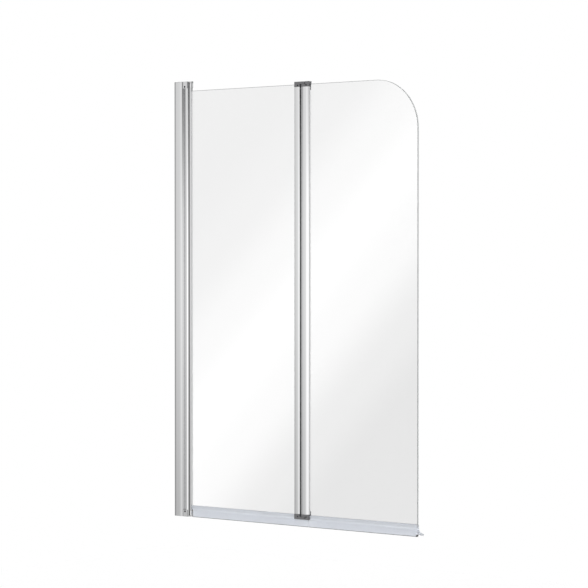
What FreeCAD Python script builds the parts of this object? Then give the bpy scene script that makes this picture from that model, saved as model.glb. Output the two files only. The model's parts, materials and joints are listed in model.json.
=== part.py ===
"""Folding bath screen: a wall channel and post, an inner and an outer glass panel, and two upright hinges.

Frame, in millimetres: the wall is the plane X = 0, the closed screen runs along +X, the glass is
centred on Y = 0 with the room on the -Y side and the bath on the +Y side, and Z = 0 is the bath rim.
"""
import FreeCAD, Part
import math
import os

import Sketcher

doc = FreeCAD.newDocument("BathScreen")

# ---------------------------------------------------------------------------------------------
# Driving dimensions
# ---------------------------------------------------------------------------------------------
DIMENSIONS = [
    # overall
    ("screen_height", 1400.0),        # wall channel, foot to top
    ("glass_drop", 30.0),             # glass top edge below the top of the channel
    ("glass_lift", 28.0),             # glass bottom edge above the bath rim
    ("glass_thickness", 6.0),
    ("glass_arris", 0.7),             # ground edge of the glass
    ("glass_corner", 150.0),          # top outer corner of the outer panel
    ("glass_small_corner", 3.0),      # the other glass corners
    ("wall_axis_depth", 62.5),        # wall to the wall hinge axis
    ("inner_span", 448.5),            # wall hinge axis to fold hinge axis
    ("outer_span", 422.0),            # fold hinge axis to the free edge of the outer glass
    # wall channel
    ("channel_depth", 36.5),
    ("channel_thickness", 26.0),
    ("channel_wall_thickness", 2.0),
    ("channel_web", 2.5),
    ("channel_wall_step", 2.7),       # how far the channel draws in where it meets the wall
    ("channel_wall_shoulder", 16.0),
    ("channel_lip_shoulder", 4.0),
    ("channel_lip", 2.5),
    ("channel_cap_thickness", 1.6),
    ("wall_screw_radius", 2.75),
    ("wall_screw_inset", 140.0),      # end wall screw holes from the channel's ends
    # pivot post
    ("post_slide_clearance", 0.3),
    ("post_neck_thickness", 10.0),
    ("post_guide_start", 9.5),
    ("post_guide_length", 15.5),
    ("post_wall", 1.6),
    ("post_travel", 4.0),             # how far the post can slide into the channel
    ("post_nose_thickness", 20.0),    # at the crown of its two faces
    ("post_nose_radius", 20.0),       # crown of the faces
    ("post_bore_thickness", 6.0),
    ("post_bore_start", 27.5),
    # soft strips between a flat end and the barrel that turns beside it
    ("strip_stem", 3.0),
    ("strip_head", 6.0),
    ("strip_neck_depth", 1.2),
    ("strip_depth", 3.0),
    ("strip_play", 0.1),
    ("strip_stand", 0.2),
    ("strip_flange", 1.0),            # flange of the post's strip over the flat end
    ("strip_flange_width", 17.0),
    ("barrel_gap", 0.5),
    # adjusting screws, on the bath side
    ("adjust_screw_radius", 1.9),
    ("adjust_screw_head_radius", 3.5),
    ("adjust_screw_head", 1.8),
    ("adjust_screw_length", 6.0),
    ("adjust_screw_depth", 17.0),     # from the wall
    ("adjust_screw_inset", 300.0),
    ("adjust_cap_radius", 5.5),
    ("adjust_cap_height", 3.4),
    ("adjust_cap_wall", 1.0),
    # pivot brackets at the post's two ends
    ("bracket_plate", 2.0),
    ("bracket_play", 0.2),
    ("bracket_height", 22.0),
    ("bracket_tongue", 4.0),
    ("bracket_tongue_width", 11.0),
    ("bracket_screw_radius", 2.0),
    ("bracket_screw_head_radius", 3.2),
    ("bracket_screw_head", 1.6),
    ("bracket_screw_length", 7.5),
    ("bracket_screw_inset", 17.0),
    ("bracket_screw_setback", 6.5),   # screw centre from the bracket's channel side
    # wall pivots
    ("wall_pin_radius", 2.5),
    ("wall_pin_length", 18.0),
    ("pivot_running_gap", 0.3),
    ("pin_running_clearance", 0.05),
    ("wall_bush_radius", 4.0),
    ("wall_bush_length", 13.0),
    ("wall_bush_flange_radius", 5.5),
    ("wall_bush_flange", 0.8),
    # wall stile
    ("wall_stile_radius", 8.0),
    ("wall_stile_tail", 3.5),         # from the hinge axis to the stile's glass end
    ("wall_stile_cap", 15.0),
    ("wall_stile_cap_tail", 6.2),
    ("wall_stile_cap_flat", 3.0),
    ("wall_stile_bite", 9.0),         # depth of the glass slot
    # gaskets round the glass edges
    ("gasket_wall", 0.9),
    ("gasket_web", 1.0),
    ("gasket_stand", 0.4),
    # stiles of the fold hinge
    ("stile_thickness", 20.0),
    ("inner_stile_width", 21.0),
    ("outer_stile_tail", 24.5),       # from the fold axis to the stile's glass end
    ("stile_edge_radius", 1.6),
    ("inner_stile_bite", 17.5),
    ("outer_stile_bite", 13.5),
    ("barrel_bore_radius", 4.0),
    ("screw_port_radius", 1.4),
    # end blocks of the fold hinge
    ("block_height", 16.0),
    ("block_rise", 8.0),              # top of the upper block above the glass
    ("block_foot", 23.0),             # underside of the lower block above the bath rim
    ("block_stand", 0.3),             # block proud of the stile
    ("block_glass_play", 0.3),
    ("fold_pin_radius", 3.0),
    ("fold_pin_recess", 1.0),
    ("fold_bush_radius", 4.5),
    ("fold_washer_radius", 7.0),
    ("fold_washer", 0.5),
    ("clamp_screw_radius", 2.4),
    ("clamp_screw_socket_radius", 1.3),
    ("clamp_screw_socket_depth", 2.2),
    ("clamp_screw_recess", 0.6),
    ("clamp_screw_inset", 3.5),       # from the glass's top or bottom edge
    ("inner_clamp_setback", 17.5),    # from the fold axis
    ("outer_clamp_setback", 14.5),
    ("block_screw_head_radius", 2.6),
    ("block_screw_head", 2.0),
    ("block_screw_grip", 10.0),       # length in the stile
    ("block_screw_offset", 7.2),      # from the glass plane
    ("inner_block_screw_setback", 24.5),
    ("outer_block_screw_setback", 21.2),
    # bottom seals
    ("seal_grip_rise", 9.0),          # above the glass's bottom edge
    ("seal_wall", 1.5),
    ("seal_lead", 1.0),               # slope at the grip's two lips
    ("seal_spine_drop", 7.5),         # from the glass's bottom edge to the spine's underside
    ("seal_wiper_step", 1.5),         # how far the front wiper stands out past the grip
    ("seal_wiper_thickness", 1.3),
    ("seal_skirt_reach", 14.0),       # fin root behind the glass plane
    ("seal_skirt_rise", 8.5),
    ("seal_skirt_outer_radius", 21.0),
    ("seal_skirt_inner_radius", 24.0),
    ("seal_fin_reach", 32.0),         # fin tip behind the glass plane
    ("seal_fin_rise", 3.0),
    ("seal_fin_thickness", 3.0),
    ("seal_fin_trim", 33.0),          # fin cut back from the fold axis
    ("seal_wall_fin_trim", 16.0),     # fin cut back from the wall hinge axis
    ("seal_wall_start", 10.0),        # wiper from the wall hinge axis
    ("seal_seam", 20.0),              # end of the inner panel's wiper past the fold axis
    ("seal_seam_gap", 1.2),
    ("seal_end_gap", 0.3),
]

sheet = doc.addObject("Spreadsheet::Sheet", "Dimensions")
for row, (alias, number) in enumerate(DIMENSIONS, start=1):
    sheet.set(f"A{row}", alias)
    sheet.set(f"B{row}", str(number))
    sheet.setAlias(f"B{row}", alias)
doc.recompute()


class Size:
    """A length together with the sheet expression that gives it."""

    def __init__(self, value, text):
        self.value = value
        self.text = text

    @staticmethod
    def of(other):
        """Return other as a Size, with a bare number as its own text."""
        return other if isinstance(other, Size) else Size(float(other), f"{other}")

    def __add__(self, other):
        other = Size.of(other)
        return Size(self.value + other.value, f"({self.text} + {other.text})")

    def __radd__(self, other):
        return Size.of(other) + self

    def __sub__(self, other):
        other = Size.of(other)
        return Size(self.value - other.value, f"({self.text} - {other.text})")

    def __rsub__(self, other):
        return Size.of(other) - self

    def __mul__(self, other):
        other = Size.of(other)
        return Size(self.value * other.value, f"({self.text} * {other.text})")

    def __rmul__(self, other):
        return Size.of(other) * self

    def __truediv__(self, other):
        other = Size.of(other)
        return Size(self.value / other.value, f"({self.text} / {other.text})")

    def __neg__(self):
        return Size(-self.value, f"(-1 * {self.text})")


def leg(hypotenuse, side):
    """Return the other short side of a right triangle."""
    square = hypotenuse * hypotenuse - side * side
    return Size(math.sqrt(square.value), f"sqrt({square.text})")


dim = {alias: Size(number, f"Dimensions.{alias}") for alias, number in DIMENSIONS}
pieces = []


def bind(thing, **sizes):
    """Tie properties of a document object to the sheet; an underscore in a name stands for a dot."""
    for name, size in sizes.items():
        thing.setExpression(name.replace("_", "."), Size.of(size).text)


def place(thing, x=0, y=0, z=0):
    """Tie the position of a document object to the sheet."""
    bind(thing, Placement_Base_x=x, Placement_Base_y=y, Placement_Base_z=z)


def piece(thing, label):
    """Name a finished sub-part and keep it for the export."""
    thing.Label = label
    pieces.append(thing)
    return thing


# ---------------------------------------------------------------------------------------------
# Sections and solids
# ---------------------------------------------------------------------------------------------
def mirrored(upper):
    """Return an outline that is the same on both sides of the sketch's X axis.

    Each corner is (x, y) or (x, y, bend), where bend is the radius of the arc to the next corner:
    positive when it turns left and negative when it turns right.
    """
    lower = []
    for index in range(len(upper) - 1, -1, -1):
        x, y = upper[index][:2]
        bend = upper[index - 1][2:] if index else ()
        lower.append((x, -Size.of(y), *bend))
    return upper + lower


def arc_edge(start, end, radius):
    """Return the short arc from start to end that turns left for a positive radius."""
    chord = end - start
    middle = (start + end) * 0.5
    left = FreeCAD.Vector(-chord.y, chord.x, 0).normalize()
    side = 1 if radius > 0 else -1
    rise = math.sqrt(max(radius * radius - chord.Length * chord.Length / 4, 0))
    top = middle + left * side * (rise - abs(radius))
    return Part.Arc(start, top, end)


def draw_outline(sketch, corners):
    """Draw a closed outline whose corners and radii are tied to the sheet."""
    corners = [(Size.of(c[0]), Size.of(c[1]), *c[2:]) for c in corners]
    points = [FreeCAD.Vector(c[0].value, c[1].value, 0) for c in corners]
    ends = []
    for index, corner in enumerate(corners):
        start = points[index]
        end = points[(index + 1) % len(points)]
        bend = corner[2] if len(corner) > 2 else None
        edge = arc_edge(start, end, bend.value) if bend else Part.LineSegment(start, end)
        number = sketch.addGeometry(edge, False)
        forward = sketch.getPoint(number, 1).distanceToPoint(start) < 1e-6
        ends.append((number, 1, 2) if forward else (number, 2, 1))
        if bend:
            rule = sketch.addConstraint(Sketcher.Constraint("Radius", number, abs(bend.value)))
            size = bend if bend.value > 0 else -bend
            sketch.setExpression(f"Constraints[{rule}]", size.text)
    for index, (number, first, last) in enumerate(ends):
        following, joined, _ = ends[(index + 1) % len(ends)]
        sketch.addConstraint(Sketcher.Constraint("Coincident", number, last, following, joined))
        for kind, size in (("DistanceX", corners[index][0]), ("DistanceY", corners[index][1])):
            rule = sketch.addConstraint(Sketcher.Constraint(kind, -1, 1, number, first, size.value))
            sketch.setExpression(f"Constraints[{rule}]", size.text)


def draw_circle(sketch, radius, x=0, y=0):
    """Draw a circle that is tied to the sheet."""
    radius, x, y = Size.of(radius), Size.of(x), Size.of(y)
    circle = Part.Circle(FreeCAD.Vector(x.value, y.value, 0), FreeCAD.Vector(0, 0, 1), radius.value)
    number = sketch.addGeometry(circle, False)
    rule = sketch.addConstraint(Sketcher.Constraint("Radius", number, radius.value))
    sketch.setExpression(f"Constraints[{rule}]", radius.text)
    for kind, size in (("DistanceX", x), ("DistanceY", y)):
        rule = sketch.addConstraint(Sketcher.Constraint(kind, -1, 1, number, 3, size.value))
        sketch.setExpression(f"Constraints[{rule}]", size.text)


def extrusion(name, length, outlines, circles=(), plane="XY_Plane", x=0, z=0, centred=False):
    """Return a body with one closed section, extruded square to the plane that it is drawn on."""
    body = doc.addObject("PartDesign::Body", name)
    sketch = body.newObject("Sketcher::SketchObject", name + "_section")
    origin_plane = [item for item in body.Origin.OriginFeatures if item.Role == plane][0]
    sketch.AttachmentSupport = (origin_plane, [""])
    sketch.MapMode = "FlatFace"
    for outline in outlines:
        draw_outline(sketch, outline)
    for circle in circles:
        draw_circle(sketch, *circle)
    pad = body.newObject("PartDesign::Pad", name + "_pad")
    pad.Profile = sketch
    bind(pad, Length=length)
    if centred:
        pad.SideType = "Symmetric"
    sketch.Visibility = False
    body.Tip = pad
    place(body, x=x, z=z)
    return body


def box(name, x, y, z):
    """Return a box between pairs of X, Y and Z."""
    solid = doc.addObject("Part::Box", name)
    bind(solid, Length=x[1] - x[0], Width=y[1] - y[0], Height=z[1] - z[0])
    place(solid, x=x[0], y=y[0], z=z[0])
    return solid


UP = FreeCAD.Rotation()
TO_BATH = FreeCAD.Rotation(FreeCAD.Vector(0, 0, 1), FreeCAD.Vector(0, 1, 0))
TO_ROOM = FreeCAD.Rotation(FreeCAD.Vector(0, 0, 1), FreeCAD.Vector(0, -1, 0))
OFF_WALL = FreeCAD.Rotation(FreeCAD.Vector(0, 0, 1), FreeCAD.Vector(1, 0, 0))
DOWN = FreeCAD.Rotation(FreeCAD.Vector(1, 0, 0), 180)


def rod(name, radius, length, x=0, y=0, z=0, way=UP):
    """Return a cylinder that starts at a point and runs one way."""
    solid = doc.addObject("Part::Cylinder", name)
    solid.Placement = FreeCAD.Placement(FreeCAD.Vector(), way)
    bind(solid, Radius=radius, Height=length)
    place(solid, x, y, z)
    return solid


def cone(name, first_radius, last_radius, length, x=0, y=0, z=0, way=UP):
    """Return a cone that starts at a point and runs one way."""
    solid = doc.addObject("Part::Cone", name)
    solid.Placement = FreeCAD.Placement(FreeCAD.Vector(), way)
    bind(solid, Radius1=first_radius, Radius2=last_radius, Height=length)
    place(solid, x, y, z)
    return solid


def fused(name, solids):
    """Return the union of several solids."""
    union = doc.addObject("Part::MultiFuse", name)
    union.Shapes = solids
    union.Refine = True
    return union


def cut(name, blank, tools):
    """Return a blank with every tool taken out of it."""
    result = doc.addObject("Part::Cut", name)
    result.Base = blank
    result.Tool = tools[0] if len(tools) == 1 else fused(name + "_tools", tools)
    return result


def group(name, solids):
    """Return separate solids as one compound."""
    compound = doc.addObject("Part::Compound", name)
    compound.Links = solids
    return compound


# ---------------------------------------------------------------------------------------------
# Levels and places that several pieces share
# ---------------------------------------------------------------------------------------------
height = dim["screen_height"]
glass_half = dim["glass_thickness"] / 2
glass_top = height - dim["glass_drop"]
glass_foot = dim["glass_lift"]
wall_axis = dim["wall_axis_depth"]
fold_axis = wall_axis + dim["inner_span"]
free_edge = fold_axis + dim["outer_span"]

channel_half = dim["channel_thickness"] / 2
channel_mouth_half = dim["post_neck_thickness"] / 2 + dim["post_slide_clearance"]
post_end = wall_axis - dim["wall_stile_radius"] - dim["barrel_gap"] - dim["strip_flange"]
nose_start = dim["channel_depth"] + dim["post_travel"]
nose_half = dim["post_nose_thickness"] / 2
post_foot = dim["bracket_tongue"]
post_top = height - dim["bracket_tongue"]
stile_half = dim["stile_thickness"] / 2
slot_half = glass_half + dim["gasket_wall"]

bracket_inner_half = nose_half + dim["bracket_play"]
bracket_half = bracket_inner_half + dim["bracket_plate"]
bracket_start = dim["channel_depth"] + dim["post_slide_clearance"]

cap_foot = dim["bracket_tongue"] + dim["pivot_running_gap"] + dim["wall_bush_flange"]
stile_foot = cap_foot + dim["wall_stile_cap"]

inner_stile_end = -stile_half - dim["barrel_gap"]
inner_stile_start = inner_stile_end - dim["inner_stile_width"]
inner_slot_end = inner_stile_start + dim["inner_stile_bite"]
outer_slot_end = dim["outer_stile_tail"] - dim["outer_stile_bite"]
wall_slot_end = dim["wall_stile_tail"] - dim["wall_stile_bite"]

upper_block_foot = glass_top + dim["block_rise"] - dim["block_height"]
lower_block_top = dim["block_foot"] + dim["block_height"]
block_half = stile_half + dim["block_stand"]
knuckle_split = dim["fold_washer"] + dim["pivot_running_gap"]
knuckle_height = (dim["block_height"] - knuckle_split) / 2


# ---------------------------------------------------------------------------------------------
# Wall side
# ---------------------------------------------------------------------------------------------
def channel_outer_corners():
    """Return the upper half of the channel's outer outline, from the wall to the lip."""
    shoulder = dim["channel_wall_shoulder"]
    step = dim["channel_wall_step"]
    lip = dim["channel_lip_shoulder"]
    return [
        (Size.of(0), channel_half - step, -shoulder),
        (leg(shoulder, shoulder - step), channel_half),
        (dim["channel_depth"] - lip, channel_half, -lip),
        (dim["channel_depth"], channel_half - lip),
    ]


def wall_channel():
    """The channel screwed to the wall, open towards the screen, with soft shoulders."""
    wall = dim["channel_wall_thickness"]
    shoulder = dim["channel_wall_shoulder"]
    shoulder_end = leg(shoulder, shoulder - dim["channel_wall_step"])
    inner_radius = shoulder - wall
    web_half = leg(inner_radius, shoulder_end - dim["channel_web"]) - (shoulder - channel_half)
    lip_back = dim["channel_depth"] - dim["channel_lip"]
    outline = mirrored(channel_outer_corners() + [
        (dim["channel_depth"], channel_mouth_half),
        (lip_back, channel_mouth_half),
        (lip_back, channel_half - wall),
        (shoulder_end, channel_half - wall, inner_radius),
        (dim["channel_web"], web_half),
    ])
    blank = extrusion("channel_blank", height - dim["channel_cap_thickness"], [outline])
    inset = dim["wall_screw_inset"]
    levels = [inset, height / 2, height - inset]
    holes = [
        rod(f"wall_screw_hole_{number}", dim["wall_screw_radius"], dim["channel_web"] * 3,
            x=-dim["channel_web"], z=level, way=OFF_WALL)
        for number, level in enumerate(levels, start=1)
    ]
    holes += [
        rod(f"channel_adjust_hole_{number}", dim["adjust_screw_radius"], wall * 2,
            x=dim["adjust_screw_depth"], y=channel_half - wall * 1.5, z=level, way=TO_BATH)
        for number, level in enumerate(adjust_levels(), start=1)
    ]
    piece(cut("channel", blank, holes), "wall_channel")


def channel_top_cap():
    """The flush cap that closes the channel's top, with a plug that goes inside it."""
    outline = mirrored(channel_outer_corners())
    thickness = dim["channel_cap_thickness"]
    plate = extrusion("cap_plate", thickness, [outline], z=height - thickness)
    wall = dim["channel_wall_thickness"]
    play = dim["post_slide_clearance"]
    plug_half = channel_half - wall - play
    plug = box(
        "cap_plug",
        (dim["post_guide_start"], dim["channel_depth"] - dim["channel_lip"] - play),
        (-plug_half, plug_half),
        (post_top + play, height - thickness),
    )
    piece(fused("top_cap", [plate, plug]), "channel_top_cap")


def strip_slot_corners(end):
    """Return the upper half of the T slot that a soft strip sits in, cut into a flat end at x = end."""
    return [
        (end, dim["strip_stem"] / 2),
        (end - dim["strip_neck_depth"], dim["strip_stem"] / 2),
        (end - dim["strip_neck_depth"], dim["strip_head"] / 2),
        (end - dim["strip_depth"], dim["strip_head"] / 2),
    ]


def seal_strip(name, end, foot, top, front, x=0):
    """Return the soft strip for a T slot; front is the upper half of its part outside the slot."""
    play = dim["strip_play"]
    stem = dim["strip_stem"] / 2 - play
    head = dim["strip_head"] / 2 - play
    outline = mirrored([
        (end - dim["strip_depth"] + play, head),
        (end - dim["strip_neck_depth"] - play, head),
        (end - dim["strip_neck_depth"] - play, stem),
        *front(stem),
    ])
    return extrusion(name, top - foot, [outline], x=x, z=foot)


def post_guide_half():
    """Return half the thickness of the post's guide, which slides in the channel."""
    return channel_half - dim["channel_wall_thickness"] - dim["post_slide_clearance"]


def pivot_post():
    """The post that slides in the channel to take up a wall that isn't plumb, and carries the pivots."""
    crown = dim["post_nose_radius"]
    nose_edge = nose_half - crown + leg(crown, (post_end - nose_start) / 2)
    neck = dim["post_neck_thickness"] / 2
    guide = post_guide_half()
    guide_start = dim["post_guide_start"]
    guide_end = guide_start + dim["post_guide_length"]
    outline = mirrored([
        (guide_start, guide),
        (guide_end, guide),
        (guide_end, neck),
        (nose_start, neck),
        (nose_start, nose_edge, -crown),
        (post_end, nose_edge),
        *strip_slot_corners(post_end),
    ])
    # The outline runs from the guide's back, so a box opens the guide towards the wall.
    blank = extrusion("post_blank", post_top - post_foot, [outline], z=post_foot)
    wall = dim["post_wall"]
    bore = dim["post_bore_thickness"] / 2
    bore_end = post_end - dim["strip_depth"] - wall
    beyond = dim["bracket_tongue"]
    tools = [
        box("guide_hollow", (guide_start - wall, guide_end - wall), (wall - guide, guide - wall),
            (post_foot - beyond, post_top + beyond)),
        box("post_bore", (dim["post_bore_start"], bore_end), (-bore, bore),
            (post_foot - beyond, post_top + beyond)),
    ]
    tools += [
        rod(f"post_adjust_hole_{number}", dim["adjust_screw_radius"], wall * 3,
            x=dim["adjust_screw_depth"], y=guide - wall * 2, z=level, way=TO_BATH)
        for number, level in enumerate(adjust_levels(), start=1)
    ]
    tools += [
        rod(f"post_bracket_hole_{number}", dim["bracket_screw_radius"],
            dim["bracket_screw_length"] + dim["bracket_plate"],
            x=bracket_screw_x(), y=bracket_half * side, z=level, way=TO_BATH if side < 0 else TO_ROOM)
        for number, (side, level) in enumerate(bracket_screw_places(), start=1)
    ]
    piece(cut("post", blank, tools), "pivot_post")


def post_seal_strip():
    """The soft strip over the post's flat end, beside the turning wall stile."""
    flange_half = dim["strip_flange_width"] / 2

    def flange(stem):
        return [(post_end, stem), (post_end, flange_half), (post_end + dim["strip_flange"], flange_half)]

    piece(seal_strip("post_strip", post_end, post_foot, post_top, flange), "post_seal_strip")


def adjust_levels():
    """Return the heights of the adjusting screws."""
    inset = dim["adjust_screw_inset"]
    return [inset, height / 2, height - inset]


def adjusting_screws():
    """Screws that hold the post in the channel, driven from the bath side, and their push-on caps."""
    screws = []
    caps = []
    x = dim["adjust_screw_depth"]
    length = dim["adjust_screw_length"]
    for number, level in enumerate(adjust_levels(), start=1):
        shank = rod(f"adjust_shank_{number}", dim["adjust_screw_radius"], length,
                    x=x, y=channel_half - length, z=level, way=TO_BATH)
        head = cone(f"adjust_head_{number}", dim["adjust_screw_head_radius"],
                    dim["adjust_screw_radius"], dim["adjust_screw_head"],
                    x=x, y=channel_half, z=level, way=TO_BATH)
        screws.append(fused(f"adjust_screw_{number}", [shank, head]))
        shell = cone(f"adjust_cap_shell_{number}", dim["adjust_cap_radius"],
                     dim["adjust_cap_radius"] - dim["adjust_cap_wall"], dim["adjust_cap_height"],
                     x=x, y=channel_half, z=level, way=TO_BATH)
        hollow = rod(f"adjust_cap_hollow_{number}",
                     dim["adjust_cap_radius"] - dim["adjust_cap_wall"] * 1.5,
                     dim["adjust_cap_height"] - dim["adjust_cap_wall"],
                     x=x, y=channel_half, z=level, way=TO_BATH)
        caps.append(cut(f"adjust_cap_{number}", shell, [hollow]))
    piece(group("adjust_screw_set", screws), "adjusting_screws")
    piece(group("adjust_cap_set", caps), "adjusting_screw_caps")


def bracket_screw_x():
    """Return where the bracket screws stand, from the wall."""
    return bracket_start + dim["bracket_screw_setback"]


def bracket_screw_places():
    """Return the side (-1 room, 1 bath) and the height of each bracket screw."""
    inset = dim["bracket_screw_inset"]
    return [(side, level) for level in (inset, height - inset) for side in (-1, 1)]


def pivot_bracket(label, outer, inner):
    """A bracket over one end of the post: two cheeks, and a tongue that reaches the hinge axis.

    outer is the level of the tongue's outer face, and inner the level where the cheeks end.
    """
    upper = outer.value > inner.value
    cheek = (inner, outer) if upper else (outer, inner)
    tongue_face = outer - dim["bracket_tongue"] if upper else outer + dim["bracket_tongue"]
    tongue = (tongue_face, outer) if upper else (outer, tongue_face)
    nose = dim["bracket_tongue_width"] / 2
    body = box(label + "_body", (bracket_start, post_end), (-bracket_half, bracket_half), cheek)
    beyond = dim["bracket_tongue"]
    room = box(label + "_room", (bracket_start - beyond, post_end + beyond),
               (-bracket_inner_half, bracket_inner_half),
               (inner - beyond, tongue_face) if upper else (tongue_face, inner + beyond))
    shell = cut(label + "_shell", body, [room])
    outline = [
        (post_end, -nose),
        (wall_axis, -nose, nose),
        (wall_axis + nose, Size.of(0), nose),
        (wall_axis, nose),
        (post_end, nose),
    ]
    reach = extrusion(label + "_tongue", dim["bracket_tongue"], [outline], z=tongue[0])
    blank = fused(label + "_blank", [shell, reach])
    screw_radius = dim["bracket_screw_radius"]
    tools = [rod(label + "_pin_hole", dim["wall_pin_radius"], dim["bracket_tongue"] * 2,
                 x=wall_axis, z=tongue[0] - dim["bracket_tongue"] / 2)]
    for number, (side, level) in enumerate(bracket_screw_places(), start=1):
        if (level.value > inner.value) == upper:
            way = TO_BATH if side < 0 else TO_ROOM
            tools.append(rod(f"{label}_screw_hole_{number}", screw_radius, dim["bracket_plate"] * 2,
                             x=bracket_screw_x(), y=bracket_half * side, z=level, way=way))
            tools.append(rod(f"{label}_head_seat_{number}", dim["bracket_screw_head_radius"],
                             dim["bracket_screw_head"],
                             x=bracket_screw_x(), y=bracket_half * side, z=level, way=way))
    piece(cut(label + "_bracket", blank, tools), label)


def bracket_screws():
    """Flush screws that hold the two brackets to the post, one on each side of each bracket."""
    screws = []
    for number, (side, level) in enumerate(bracket_screw_places(), start=1):
        way = TO_BATH if side < 0 else TO_ROOM
        x = bracket_screw_x()
        y = bracket_half * side
        shank = rod(f"bracket_shank_{number}", dim["bracket_screw_radius"],
                    dim["bracket_screw_length"], x=x, y=y, z=level, way=way)
        head = rod(f"bracket_head_{number}", dim["bracket_screw_head_radius"],
                   dim["bracket_screw_head"], x=x, y=y, z=level, way=way)
        drive = rod(f"bracket_drive_{number}", dim["bracket_screw_radius"] / 2,
                    dim["bracket_screw_head"], x=x, y=y, z=level, way=way)
        screws.append(cut(f"bracket_screw_{number}", fused(f"bracket_screw_blank_{number}", [shank, head]),
                          [drive]))
    piece(group("bracket_screw_set", screws), "bracket_screws")


def wall_pivot_pins():
    """Pins pressed into the bracket tongues, one up and one down, that the inner panel turns on."""
    lower = rod("lower_wall_pin", dim["wall_pin_radius"], dim["wall_pin_length"], x=wall_axis)
    upper = rod("upper_wall_pin", dim["wall_pin_radius"], dim["wall_pin_length"],
                x=wall_axis, z=height, way=DOWN)
    piece(group("wall_pin_set", [lower, upper]), "wall_pivot_pins")


# ---------------------------------------------------------------------------------------------
# Inner panel
# ---------------------------------------------------------------------------------------------
def glass_slot_corners(mouth, end, half):
    """Return the two corners of a glass slot's upper side, from its mouth to its end."""
    return [(mouth, half), (end, half)]


def wall_stile():
    """The slim half-round stile that holds the inner glass and turns beside the post."""
    radius = dim["wall_stile_radius"]
    tail = dim["wall_stile_tail"]
    outline = [
        (Size.of(0), radius, radius),
        (-radius, Size.of(0), radius),
        (Size.of(0), -radius),
        (tail, -radius),
        (tail, -slot_half),
        (wall_slot_end, -slot_half),
        (wall_slot_end, slot_half),
        (tail, slot_half),
        (tail, radius),
    ]
    body = extrusion("wall_stile_body", height - stile_foot * 2, [outline], x=wall_axis, z=stile_foot)
    piece(body, "wall_stile")


def wall_stile_cap(label, foot, bush_end):
    """The end cap of the wall stile, which holds a pivot bush."""
    radius = dim["wall_stile_radius"]
    tail = dim["wall_stile_tail"]
    nose = dim["wall_stile_cap_tail"]
    flat = dim["wall_stile_cap_flat"]
    outline = [
        (Size.of(0), radius, radius),
        (-radius, Size.of(0), radius),
        (Size.of(0), -radius),
        (tail, -radius),
        (nose, -flat),
        (nose, flat),
        (tail, radius),
    ]
    blank = extrusion(label + "_blank", dim["wall_stile_cap"], [outline], x=wall_axis, z=foot)
    bore = rod(label + "_bore", dim["wall_bush_radius"],
               dim["wall_bush_length"] - dim["wall_bush_flange"],
               x=wall_axis, z=bush_end, way=UP if bush_end is foot else DOWN)
    relief = rod(label + "_relief", dim["wall_pin_radius"] + dim["pin_running_clearance"],
                 dim["wall_pin_length"], x=wall_axis, z=bush_end, way=UP if bush_end is foot else DOWN)
    piece(cut(label + "_cap", blank, [bore, relief]), label)


def wall_pivot_bushes():
    """Flanged plastic bushes in the stile's end caps, which run on the wall pivot pins."""
    bushes = []
    flange = dim["wall_bush_flange"]
    for name, start, way in (("lower", cap_foot - flange, UP), ("upper", height - cap_foot + flange, DOWN)):
        sleeve = rod(name + "_wall_sleeve", dim["wall_bush_radius"], dim["wall_bush_length"],
                     x=wall_axis, z=start, way=way)
        collar = rod(name + "_wall_collar", dim["wall_bush_flange_radius"], flange,
                     x=wall_axis, z=start, way=way)
        bore = rod(name + "_wall_bore", dim["wall_pin_radius"] + dim["pin_running_clearance"],
                   dim["wall_pin_length"] * 2, x=wall_axis, z=start - dim["wall_pin_length"])
        bushes.append(cut(name + "_wall_bush", fused(name + "_wall_bush_blank", [sleeve, collar]), [bore]))
    piece(group("wall_bush_set", bushes), "wall_pivot_bushes")


def glass_gasket(label, slot_end, mouth, axis, foot, top):
    """A soft U that fills the gap between a stile's slot and the glass edge.

    slot_end and mouth are measured from the axis; the mouth may be on either side of the slot's end.
    """
    outward = 1 if mouth.value > slot_end.value else -1
    lip = mouth + dim["gasket_stand"] * outward
    web = slot_end + dim["gasket_web"] * outward
    outline = mirrored([
        (web, glass_half),
        (lip, glass_half),
        (lip, slot_half),
        (slot_end, slot_half),
    ][::outward])
    piece(extrusion(label + "_body", top - foot, [outline], x=axis, z=foot), label)


def glass_pane(label, start, end, big_corner):
    """A sheet of toughened glass with ground edges, upright in the plane Y = 0."""
    small = dim["glass_small_corner"]
    corner = big_corner if big_corner else small
    outline = [
        (start + small, glass_foot),
        (end - small, glass_foot, small),
        (end, glass_foot + small),
        (end, glass_top - corner, corner),
        (end - corner, glass_top),
        (start + small, glass_top, small),
        (start, glass_top - small),
        (start, glass_foot + small, small),
    ]
    body = extrusion(label + "_body", dim["glass_thickness"], [outline], plane="XZ_Plane", centred=True)
    doc.recompute()
    pad = body.Tip
    faces = [
        f"Face{number}" for number, face in enumerate(pad.Shape.Faces, start=1)
        if abs(abs(face.CenterOfMass.y) - glass_half.value) < 1e-6
    ]
    arris = body.newObject("PartDesign::Chamfer", label + "_arris")
    arris.Base = (pad, faces)
    bind(arris, Size=dim["glass_arris"])
    body.Tip = arris
    piece(body, label)


def inner_hinge_stile():
    """The flat-ended stile on the inner glass, with a strip slot facing the fold hinge's barrel."""
    edge = dim["stile_edge_radius"]
    outline = mirrored([
        (inner_slot_end, slot_half),
        (inner_stile_start, slot_half),
        (inner_stile_start, stile_half - edge, -edge),
        (inner_stile_start + edge, stile_half),
        (inner_stile_end - edge, stile_half, -edge),
        (inner_stile_end, stile_half - edge),
        *strip_slot_corners(inner_stile_end),
    ])
    # The outline crosses the glass plane only at the slot's end and the strip slot's bottom.
    offset = dim["block_screw_offset"]
    ports = [(dim["screw_port_radius"], -dim["inner_block_screw_setback"], side)
             for side in (offset, -offset)]
    body = extrusion("inner_stile_body", upper_block_foot - lower_block_top, [outline],
                     circles=ports, x=fold_axis, z=lower_block_top)
    piece(body, "inner_hinge_stile")


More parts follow.
